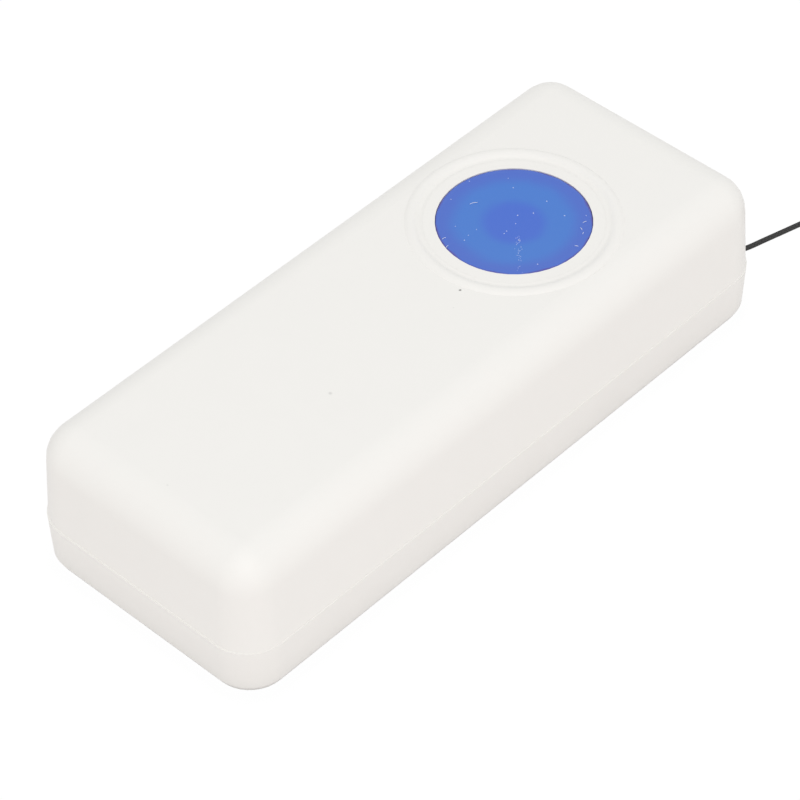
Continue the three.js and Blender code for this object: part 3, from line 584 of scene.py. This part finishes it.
def blue_silicone(groups, settings):
    """Translucent blue, deeper over the post and the skirt and lighter over the hollow between: partly
    the silicone's own tone and partly painted shading of the dished face, with a painted shade at the
    rim.
    """
    material, tree, shader, place = grained(
        "Blue Silicone", groups, settings.band_color, BLUE_ROUGHNESS, BLUE_GRAIN, BLUE_BUMP)
    centred = vector_node(tree, "SUBTRACT", place, tuple(BUTTON_CENTRE))
    radius = vector_node(tree, "LENGTH", vector_node(tree, "MULTIPLY", centred, (1, 1, 0)))
    cloud = noise(tree, place, CLOUD_SCALE, detail=4.0)
    uneven = math_node(tree, "MULTIPLY_ADD", cloud, CLOUD_REACH, radius)
    ramp = add_node(tree, "ShaderNodeValToRGB")
    ramp.color_ramp.interpolation = "EASE"
    stops = ramp.color_ramp.elements
    while len(stops) < len(BUTTON_TONES_AND_SHADE):
        stops.new(1.0)
    for stop, (position, tone) in zip(stops, BUTTON_TONES_AND_SHADE):
        stop.position = position
        stop.color = (*getattr(settings, tone), 1)
    tree.links.new(math_node(tree, "DIVIDE", uneven, TONE_REACH), ramp.inputs[0])
    tree.links.new(ramp.outputs[0], shader.inputs["Base Color"])
    return material


def dark_braid(groups, settings):
    """Matt dark strands, their crests made paler by a painted sheen."""
    material, tree, shader = new_material("Dark Braid", settings.color, BRAID_ROUGHNESS)
    shader.inputs["Specular IOR Level"].default_value = BRAID_SHINE
    braid = add_node(tree, "ShaderNodeGroup", {"Strands": float(settings.strands)},
                     node_tree=groups["braid"]).outputs
    # Painted sheen: the crests of the strands are mixed towards a paler colour
    pale = [min(1.0, BRAID_CREST_SHEEN * part) for part in settings.color]
    shade = math_node(tree, "MULTIPLY", braid["Height"], braid["Fibre"], clamp=True)
    tree.links.new(mix_color(tree, shade, settings.color, pale), shader.inputs["Base Color"])
    add_bump(tree, shader, braid["Height"], BRAID_BUMP, BRAID_DEPTH)
    return material


def board_laminate(groups):
    """Green solder mask with the pattern of its tracks showing through."""
    material, tree, shader, place = grained(
        "Board Laminate", groups, BOARD_GREEN, roughness=0.35, grain=0.3 * MM, bump=0.1)
    tracks = add_node(tree, "ShaderNodeTexBrick", {
        "Scale": TRACK_SCALE, "Mortar Size": TRACK_WIDTH, "Color1": (*BOARD_GREEN, 1),
        "Color2": (*BOARD_LIGHTER, 1), "Mortar": (*BOARD_TRACK, 1),
    }, {"Vector": place})
    tree.links.new(tracks.outputs["Color"], shader.inputs["Base Color"])
    return material


def cell_jacket(groups):
    """Plain dark jacket, coppery towards the end with the nub. The two cells face opposite ways."""
    material, tree, shader, place = grained(
        "Cell Jacket", groups, CELL_DARK, roughness=0.3, grain=0.5 * MM, bump=0.05)
    axes = add_node(tree, "ShaderNodeSeparateXYZ", None, {0: place}).outputs
    middle = (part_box("battery_1")[0].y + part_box("battery_2")[1].y) / 2
    side = math_node(tree, "SIGN", axes["X"])
    along = math_node(tree, "MULTIPLY", math_node(tree, "SUBTRACT", axes["Y"], middle), side)
    band = math_node(tree, "GREATER_THAN", along, CELL_BAND)
    tree.links.new(mix_color(tree, band, CELL_DARK, CELL_COPPER), shader.inputs["Base Color"])
    return material


def make_finishes(scene):
    """Every finish, by the name of its slot."""
    groups = {"grain": grain_group(), "mark": mark_group(), "braid": braid_group()}
    finishes = {
        "housing_white": white_plastic(groups, scene.pager_housing),
        "button_blue": blue_silicone(groups, scene.pager_button),
        "board_green": board_laminate(groups),
        "cell_jacket": cell_jacket(groups),
        "cord_grey": dark_braid(groups, scene.pager_cord),
    }
    for slot, (name, color, roughness, grain, bump, metallic) in PLAIN_FINISHES.items():
        finishes[slot] = grained(name, groups, color, roughness, grain * MM, bump, metallic)[0]
    return finishes


FINISHES = {}


def finish_of(name):
    """A finish by its name. All are made when the first is asked for."""
    if not FINISHES:
        FINISHES.update(make_finishes(bpy.context.scene))
    return FINISHES[name]


def add_piece(name, mesh, finish, body, slot, *nodes):
    """An object that rides on its body, takes its finish from a slot and stands for nodes."""
    mesh.materials.clear()
    mesh.materials.append(finish_of(finish))
    piece = new_object(name, mesh)
    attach(piece, body)
    if nodes:
        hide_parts(*nodes)
    return piece


def close_front(spot):
    """Bring a point of the front cover down at the joint and in at its ends and the button's hole."""
    if abs(spot.z - SEAM_HEIGHT) < TOUCH:
        spot.z -= SEAM_CLOSE
        inset = FRONT_SIDE - Vector((CORNER_RADIUS, CORNER_RADIUS))
        past = Vector([max(abs(at) - flat, 0) for at, flat in zip(spot.xy, inset)])
        if past.length > CORNER_RADIUS - WALL_TOUCH:
            spot.y -= math.copysign(SEAM_DRAWN * past.y / past.length, spot.y)
    across = spot.xy - BUTTON_CENTRE.xy
    if abs(across.length - HOLE_RADIUS) < TOUCH:
        spot.xy = BUTTON_CENTRE.xy + across * HOLE_DRAWN / HOLE_RADIUS


def smooth_copy(node, name, sharp_angle, fit=None):
    """A copy of a solid with its flats merged, round forms shaded smooth and its edges kept."""
    shape = bmesh.new()
    shape.from_mesh(frame["nodes"][node].data)
    bmesh.ops.remove_doubles(shape, verts=shape.verts, dist=MERGE_REACH)
    bmesh.ops.dissolve_limit(shape, angle_limit=FLAT_ANGLE, verts=shape.verts, edges=shape.edges)
    if fit:
        for vert in shape.verts:
            fit(vert.co)
    for face in shape.faces:
        face.smooth = True
    for edge in shape.edges:
        edge.smooth = edge.calc_face_angle(math.pi) < sharp_angle
    mesh = finished_mesh(name, shape)
    piece = add_piece(name, mesh, SLOT_OF[node], BODY_OF[node], SLOT_OF[node], node)
    normals = piece.modifiers.new("Even Normals", "WEIGHTED_NORMAL")
    normals.keep_sharp = True
    return piece


def turned_mesh(name, profile, segments, centre):
    """A closed solid of revolution; its profile runs from the lower axis point to the upper one."""
    shape = bmesh.new()
    rings = []
    for radius, height in profile:
        angles = [2 * math.pi * step / segments for step in range(segments if radius > 0 else 1)]
        rings.append([
            shape.verts.new((centre.x + radius * math.cos(a), centre.y + radius * math.sin(a), height))
            for a in angles
        ])
    for lower, upper in zip(rings, rings[1:]):
        for step in range(segments):
            after = (step + 1) % segments
            corners = (lower[step % len(lower)], lower[after % len(lower)],
                       upper[after % len(upper)], upper[step % len(upper)])
            shape.faces.new(list(dict.fromkeys(corners))).smooth = True
    for edge in shape.edges:
        edge.smooth = edge.calc_face_angle(math.pi) < TURNED_SHARP
    return finished_mesh(name, shape)


def dish_height(radius):
    """Height of the button's dished face at a radius."""
    return BUTTON_TOP - BUTTON_DISH * (1 - (radius / (BUTTON_RIM - BUTTON_ROUND)) ** 2)


def button_profile():
    """The button's section, from the foot of its post round the flange and up to its dished face."""
    flange = (BUTTON_HIGH.x - BUTTON_LOW.x) / 2
    flange_top = BUTTON_HIGH.z - FLANGE_BELOW_TOP
    flange_bottom = flange_top - FLANGE_THICKNESS
    under = BUTTON_HIGH.z - BUTTON_FACE
    rim = BUTTON_RIM - BUTTON_ROUND
    turns = [step * math.pi / 2 / ROUND_STEPS for step in range(ROUND_STEPS + 1)]
    edge = [(rim + BUTTON_ROUND * math.cos(turn), BUTTON_TOP - BUTTON_ROUND * (1 - math.sin(turn)))
            for turn in turns]
    radii = [rim * ring / DISH_RINGS for ring in range(DISH_RINGS - 1, -1, -1)]
    return [
        (0, BUTTON_LOW.z), (BUTTON_POST, BUTTON_LOW.z), (BUTTON_POST, under), (BUTTON_HOLLOW, under),
        (BUTTON_HOLLOW, flange_bottom), (flange, flange_bottom), (flange, flange_top),
        (BUTTON_RIM, flange_top), *edge, *((radius, dish_height(radius)) for radius in radii),
    ]


def on_button(across, along, lift=0.0):
    """A point on the button's face, from millimetres across and along."""
    height = dish_height(math.hypot(across, along) * MM) + lift
    return Vector((BUTTON_CENTRE.x + across * MM, BUTTON_CENTRE.y + along * MM, height))


def tube(shape, line, radius, sides, uv=None):
    """A closed tube along a line, in a mesh being built; its map runs along and round."""
    rings = []
    side = None
    travelled = 0.0
    for index, point in enumerate(line):
        ahead = (line[min(index + 1, len(line) - 1)] - line[max(index - 1, 0)]).normalized()
        start = side if side is not None else ahead.orthogonal()
        side = (start - ahead * start.dot(ahead)).normalized()
        other = ahead.cross(side)
        travelled += (point - line[index - 1]).length if index else 0.0
        rings.append((travelled, [
            shape.verts.new(point + radius * (side * math.cos(a) + other * math.sin(a)))
            for a in (2 * math.pi * corner / sides for corner in range(sides))
        ]))
    for (near_at, near), (far_at, far) in zip(rings, rings[1:]):
        for corner in range(sides):
            after = (corner + 1) % sides
            face = shape.faces.new((near[corner], near[after], far[after], far[corner]))
            face.smooth = True
            if uv:
                places = ((near_at, corner), (near_at, corner + 1),
                          (far_at, corner + 1), (far_at, corner))
                for loop, (at, step) in zip(face.loops, places):
                    loop[uv].uv = (at / (2 * math.pi * radius), step / sides)
    shape.faces.new(rings[0][1][::-1])
    shape.faces.new(rings[-1][1])


def fibre_mesh():
    """Short bent fibres that lie on the button's face."""
    shape = bmesh.new()
    for across, along, length, turn in FIBRES:
        ahead = Vector((math.cos(math.radians(turn)), math.sin(math.radians(turn))))
        side = Vector((-ahead.y, ahead.x))
        line = []
        for step in range(FIBRE_STEPS + 1):
            part = step / FIBRE_STEPS - 0.5
            spot = Vector((across, along)) + ahead * part * length
            spot += side * FIBRE_BEND * length * math.cos(part * math.pi)
            line.append(on_button(spot.x, spot.y, FIBRE_RADIUS))
        tube(shape, line, FIBRE_RADIUS, FIBRE_SIDES)
    return finished_mesh("button_fibres", shape)


def fleck_tree():
    """Geometry nodes that put a small uneven fleck, turned and sized at random, on every point."""
    tree = bpy.data.node_groups.new("Dust Flecks", "GeometryNodeTree")
    tree.interface.new_socket("Points", in_out="INPUT", socket_type="NodeSocketGeometry")
    size = tree.interface.new_socket("Fleck Radius", in_out="INPUT", socket_type="NodeSocketFloat")
    seed = tree.interface.new_socket("Seed", in_out="INPUT", socket_type="NodeSocketInt")
    tree.interface.new_socket("Flecks", in_out="OUTPUT", socket_type="NodeSocketGeometry")
    given = tree.nodes.new("NodeGroupInput").outputs
    result = tree.nodes.new("NodeGroupOutput").inputs
    fleck = add_node(tree, "GeometryNodeMeshIcoSphere", {"Subdivisions": 1},
                     {"Radius": given["Fleck Radius"]})
    turns = add_node(tree, "FunctionNodeRandomValue", {1: FLECK_TURN},
                     {"Seed": given["Seed"]}, data_type="FLOAT_VECTOR")
    sizes = add_node(tree, "FunctionNodeRandomValue", {0: FLECK_LEAST, 1: FLECK_MOST},
                     {"Seed": given["Seed"]}, data_type="FLOAT_VECTOR")
    size_of = add_node(tree, "GeometryNodeInputNamedAttribute", {"Name": "size"}, data_type="FLOAT")
    scale = add_node(tree, "ShaderNodeVectorMath", None,
                     {0: sizes.outputs[0], "Scale": size_of.outputs[0]}, operation="SCALE")
    spread = add_node(tree, "GeometryNodeInstanceOnPoints", None, {
        "Points": given["Points"], "Instance": fleck.outputs["Mesh"],
        "Rotation": turns.outputs[0], "Scale": scale.outputs[0],
    })
    real = add_node(tree, "GeometryNodeRealizeInstances", None, {0: spread.outputs[0]})
    dressed = add_node(tree, "GeometryNodeSetMaterial", {"Material": finish_of("dust")},
                       {"Geometry": real.outputs[0]})
    tree.links.new(dressed.outputs[0], result["Flecks"])
    return tree, size.identifier, seed.identifier


def fleck_mesh(settings):
    """The dust flecks as a plain mesh: the listed ones, and a loose drift of more in a streak."""
    dice = random.Random(settings.seed)
    spots = list(FLECKS)
    sizes = [1.0] * len(spots)
    first, last = (Vector(end) for end in DRIFT)
    for _ in range(settings.drift):
        spot = first.lerp(last, dice.random())
        spot += Vector((dice.gauss(0, DRIFT_SPREAD), dice.gauss(0, DRIFT_SPREAD)))
        spots.append(tuple(spot))
        sizes.append(dice.uniform(*DRIFT_SIZES))
    points = bpy.data.meshes.new("fleck_points")
    points.from_pydata([on_button(*spot) for spot in spots], [], [])
    points.attributes.new("size", "FLOAT", "POINT").data.foreach_set("value", sizes)
    holder = new_object("fleck_points", points)
    tree, size, seed = fleck_tree()
    spread = holder.modifiers.new("Flecks", "NODES")
    spread.node_group = tree
    spread[size] = settings.fleck
    spread[seed] = settings.seed
    bpy.context.view_layer.update()
    graph = bpy.context.evaluated_depsgraph_get()
    mesh = bpy.data.meshes.new_from_object(holder.evaluated_get(graph))
    holder.modifiers.clear()
    bpy.data.objects.remove(holder)
    return mesh


def eased(part):
    """A share of a move, slow at both its ends."""
    part = min(max(part, 0.0), 1.0)
    return part * part * (3 - 2 * part)


def coil_moves():
    """Each move of the cord from one place in the coil to the next: start, span, radius, height.

    A turn leaves its place just before the turn behind it arrives there. So each climb to a new
    row comes a step earlier than the moves in the row below it, and so do the moves after it.
    """
    places = []
    for row, count in enumerate(COIL_ROWS):
        offsets = [(column - (count - 1) / 2) * COIL_PITCH for column in range(count)]
        if row % 2 == 0:
            offsets.reverse()
        places += [(COIL_RADIUS + offset, COIL_FLOOR + row * COIL_PITCH) for offset in offsets]
    moves = [(-2 * COIL_LEAD, COIL_LEAD, TAIL_RADIUS, COIL_FLOOR), (0, COIL_LEAD, *places[0])]
    back = COIL_CHANGE
    for turn, (here, there) in enumerate(zip(places, places[1:]), 1):
        climbs = here[1] != there[1]
        back += COIL_CHANGE * climbs
        moves.append((360 * turn - back, COIL_CHANGE, *there))
        back += COIL_CHANGE * climbs
    top = places[-1][1] + COIL_PITCH
    start = 360 * len(places) - back - COIL_CHANGE
    moves.append((start, COIL_CHANGE, places[-1][0], top))
    moves.append((start + COIL_CHANGE, TAIL_OUT, TAIL_RADIUS, top))
    return moves


def coil_line():
    """The coil's centre line, from where the route meets it to the knot at the far end."""
    entry = Vector(CORD_ROUTE[-1][:2]) - Vector(COIL_CENTRE)
    first_angle = math.degrees(math.atan2(entry.y, entry.x))
    moves = coil_moves()
    drop = moves[-1][0] + moves[-1][1]
    end = first_angle + 360 * math.ceil((drop + TAIL_LEAST - first_angle) / 360)
    moves.append((end - TAIL_DOWN, TAIL_FALL, TAIL_RADIUS, COIL_FLOOR))
    moves.append((end - KNOT_LEAD, KNOT_LEAD, KNOT_RADIUS, KNOT_HEIGHT))
    line = []
    step = 360 / COIL_SAMPLES
    for index in range(1, int(end / step) + 1):
        turned = index * end / int(end / step)
        radius, height = entry.length, COIL_FLOOR
        for start, span, to_radius, to_height in moves[1:]:
            part = eased((turned - start) / span)
            radius += (to_radius - radius) * part
            height += (to_height - height) * part
        angle = math.radians(first_angle - turned)
        line.append(Vector((
            COIL_CENTRE[0] + radius * math.cos(angle),
            COIL_CENTRE[1] + radius * math.sin(angle),
            height,
        )))
    return line


def through(points, steps):
    """A smooth centripetal curve through points, with a number of steps from each to the next."""
    ends = [points[0] * 2 - points[1], *points, points[-1] * 2 - points[-2]]
    line = []
    for before, start, end, after in zip(ends, ends[1:], ends[2:], ends[3:]):
        a, b, c = ((q - p).length ** 0.5 for p, q in ((before, start), (start, end), (end, after)))
        leave = ((start - before) / a - (end - before) / (a + b) + (end - start) / b) * b
        arrive = ((end - start) / b - (after - start) / (b + c) + (after - end) / c) * b
        line += interpolate_bezier(start, start + leave / 3, end - arrive / 3, end, steps + 1)[:-1]
    return [*line, points[-1]]


def knot_line(centre, flat):
    """A tight overhand knot round a centre, lying flat or standing across the cord."""
    line = []
    for step in range(KNOT_STEPS + 1):
        t = step / KNOT_STEPS * 2 * math.pi * KNOT_SHARE
        x = math.sin(t) + 2 * math.sin(2 * t)
        y = math.cos(t) - 2 * math.cos(2 * t)
        z = -1.5 * math.sin(3 * t)
        spot = Vector((x, y, z)) if flat else Vector((x, z, y))
        line.append(centre + spot * KNOT_SIZE * MM)
    return line


def cord_mesh(name, line, diameter):
    """A length of cord along a line, with the map that its braid follows."""
    shape = bmesh.new()
    tube(shape, line, diameter / 2, CORD_SIDES, shape.loops.layers.uv.new("Along"))
    return finished_mesh(name, shape)


class PAGER_OT_housing(bpy.types.Operator):
    """Dress the covers, the battery door, the screws and the cells"""

    bl_idname = "pager.housing"
    bl_label = "Housing"

    def execute(self, context):
        settings = context.scene.pager_housing
        smooth_copy("front_cover", "front_moulding", settings.sharp_angle, close_front)
        for node in SMOOTH_PIECES:
            smooth_copy(node, f"{node}_smooth", settings.sharp_angle)
        return {"FINISHED"}


class PAGER_OT_button(bpy.types.Operator):
    """Turn the call button and lay dust on its face"""

    bl_idname = "pager.button"
    bl_label = "Call Button"

    def execute(self, context):
        settings = context.scene.pager_button
        cap = turned_mesh("call_button_cap", button_profile(), settings.segments, BUTTON_CENTRE)
        add_piece("call_button_cap", cap, "button_blue", "button", "button_blue", "call_button")
        add_piece("button_fibres", fibre_mesh(), "dust", "button", "button_blue")
        add_piece("button_flecks", fleck_mesh(settings), "dust", "button", "button_blue")
        return {"FINISHED"}


class PAGER_OT_inside(bpy.types.Operator):
    """Give every solid that still shows its finish"""

    bl_idname = "pager.inside"
    bl_label = "Inside Parts"

    def execute(self, context):
        for node, solid in frame["nodes"].items():
            if not solid.hide_render:
                for slot in solid.material_slots:
                    slot.material = finish_of(SLOT_OF[node])
        return {"FINISHED"}


class PAGER_OT_cord(bpy.types.Operator):
    """Lay the neck cord along its route and wind the rest of it into its coil"""

    bl_idname = "pager.cord"
    bl_label = "Neck Cord"

    def execute(self, context):
        settings = context.scene.pager_cord
        route = through([Vector(point) for point in CORD_ROUTE], ROUTE_STEPS)
        line = [point * MM for point in (*route, *coil_line())]
        mesh = cord_mesh("neck_cord_braid", line, settings.diameter)
        braid = add_piece("neck_cord_braid", mesh, "cord_grey", "housing", "cord_grey",
                          "neck_cord", "neck_cord_coil")
        for node, flat in (("stop_knot", False), ("end_knot", True)):
            low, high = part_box(node)
            knot = cord_mesh(f"{node}_braid", knot_line((low + high) / 2, flat), settings.diameter)
            add_piece(f"{node}_braid", knot, "cord_grey", "housing", "cord_grey", node)
        return {"FINISHED"}


def add_light(name, power, size, place):
    """A square lamp that faces the pager from its place."""
    lamp = bpy.data.lights.new(name, "AREA")
    lamp.energy = power
    lamp.size = size
    lamp.color = LAMP_COLOR
    light = new_object(name, lamp)
    light.location = place
    light.rotation_euler = (-Vector(place)).to_track_quat("-Z", "Y").to_euler()


def seen_rays(tree):
    """One for rays that show the background: from the camera, off gloss or through glass."""
    rays = add_node(tree, "ShaderNodeLightPath").outputs
    seen = math_node(tree, "MAXIMUM", rays["Is Camera Ray"], rays["Is Glossy Ray"])
    return math_node(tree, "MAXIMUM", seen, rays["Is Transmission Ray"])


def painted_shadow_fade(tree):
    """Painted shadow on the floor: zero where the floor meets the pager's sides, rising to one a
    little way off.
    """
    place = add_node(tree, "ShaderNodeTexCoord").outputs["Object"]
    flat = (REAR_SIDE.x - CORNER_RADIUS, REAR_SIDE.y - CORNER_RADIUS, 0)
    past = vector_node(tree, "SUBTRACT", vector_node(tree, "ABSOLUTE", place), flat)
    reach = vector_node(tree, "LENGTH", vector_node(tree, "MAXIMUM", past))
    gap = math_node(tree, "SUBTRACT", reach, CORNER_RADIUS)
    return math_node(tree, "DIVIDE", gap, PAINTED_SHADOW_REACH, clamp=True)


def add_floor():
    """A white floor that keeps a soft shadow, with a painted shadow darkening it round the pager's
    foot, and is open to a camera below it.
    """
    mesh = bpy.data.meshes.new("studio_floor")
    signs = ((-1, -1), (1, -1), (1, 1), (-1, 1))
    mesh.from_pydata([(FLOOR_REACH * x, FLOOR_REACH * y, 0) for x, y in signs], [], [(0, 1, 2, 3)])
    floor = new_object("studio_floor", mesh)
    material = bpy.data.materials.new("Studio White")
    tree = cleared_tree(material)
    # The floor's colour carries a painted shadow: dark where it meets the pager, its own colour a
    # little way off
    matt = add_node(tree, "ShaderNodeBsdfDiffuse", None, {
        "Color": mix_color(tree, painted_shadow_fade(tree), FLOOR_PAINTED_SHADOW, FLOOR_COLOR),
    })
    glow = add_node(tree, "ShaderNodeEmission", {"Color": (1, 1, 1, 1), "Strength": FLOOR_GLOW})
    share = math_node(tree, "MULTIPLY", seen_rays(tree), FLOOR_SHARE)
    clear = add_node(tree, "ShaderNodeBsdfTransparent")
    back = add_node(tree, "ShaderNodeNewGeometry").outputs["Backfacing"]
    whole = mix_shaders(tree, back, mix_shaders(tree, share, matt, glow), clear)
    add_node(tree, "ShaderNodeOutputMaterial", None, {"Surface": whole.outputs[0]})
    mesh.materials.append(material)


def add_sky(strength):
    """Even light from all round, in front of a background that is seen as white."""
    world = bpy.data.worlds.new("Studio Sky")
    bpy.context.scene.world = world
    tree = cleared_tree(world)
    light, white = (
        add_node(tree, "ShaderNodeBackground", {"Color": (1, 1, 1, 1), "Strength": power})
        for power in (strength, 1.0)
    )
    whole = mix_shaders(tree, seen_rays(tree), light, white)
    add_node(tree, "ShaderNodeOutputWorld", None, {"Surface": whole.outputs[0]})


def add_camera(settings):
    """The camera at the photograph's place, from its turn, height angle, tilt and distance."""
    turn, rise = settings.azimuth, settings.elevation
    back = Vector((math.sin(turn) * math.cos(rise), -math.cos(turn) * math.cos(rise), math.sin(rise)))
    right = Vector((math.cos(turn), math.sin(turn), 0))
    facing = Matrix((right, back.cross(right), back)).transposed()
    rotation = facing @ Matrix.Rotation(settings.roll, 3, "Z")
    lens = bpy.data.cameras.new("Studio Camera")
    lens.lens = settings.lens
    lens.clip_start = LENS_NEAR
    lens.shift_x, lens.shift_y = LENS_SHIFT
    camera = new_object("Studio Camera", lens)
    place = Vector(settings.aim) + back * settings.distance
    camera.matrix_world = Matrix.Translation(place) @ rotation.to_4x4()
    bpy.context.scene.camera = camera


class PAGER_OT_stage(bpy.types.Operator):
    """Set up the camera, the white floor and the soft light"""

    bl_idname = "pager.stage"
    bl_label = "Studio"

    def execute(self, context):
        settings = context.scene.pager_stage
        context.scene.view_settings.view_transform = "Standard"
        add_camera(settings)
        add_floor()
        add_sky(settings.sky)
        for setting, name, size, place in LAMPS:
            add_light(name, getattr(settings, setting), size, place)
        return {"FINISHED"}


class PAGER_PT_panel(bpy.types.Panel):
    """Sidebar panel with one button for each step"""

    bl_idname = "PAGER_PT_panel"
    bl_label = "Caregiver Pager"
    bl_space_type = "VIEW_3D"
    bl_region_type = "UI"
    bl_category = "Pager"

    def draw(self, context):
        scene = context.scene
        for step, group in STEPS.items():
            box = self.layout.box()
            box.operator(step.bl_idname)
            if group:
                settings = getattr(scene, group)
                for name in settings.bl_rna.properties.keys():
                    if name not in ("rna_type", "name"):
                        box.prop(settings, name)


SETTINGS = {
    "pager_stage": PagerStageSettings,
    "pager_cord": PagerCordSettings,
    "pager_housing": PagerHousingSettings,
    "pager_button": PagerButtonSettings,
}
STEPS = {
    PAGER_OT_stage: "pager_stage",
    PAGER_OT_cord: "pager_cord",
    PAGER_OT_housing: "pager_housing",
    PAGER_OT_button: "pager_button",
    PAGER_OT_inside: None,
}


def register():
    for item in (*SETTINGS.values(), *STEPS, PAGER_PT_panel):
        bpy.utils.register_class(item)
    for name, group in SETTINGS.items():
        setattr(bpy.types.Scene, name, PointerProperty(type=group))


def unregister():
    for name in SETTINGS:
        delattr(bpy.types.Scene, name)
    for item in (PAGER_PT_panel, *reversed(STEPS), *reversed(SETTINGS.values())):
        bpy.utils.unregister_class(item)


def main():
    register()
    for step in STEPS:
        getattr(bpy.ops.pager, step.bl_idname.split(".")[1])()


if __name__ == "__main__":
    main()
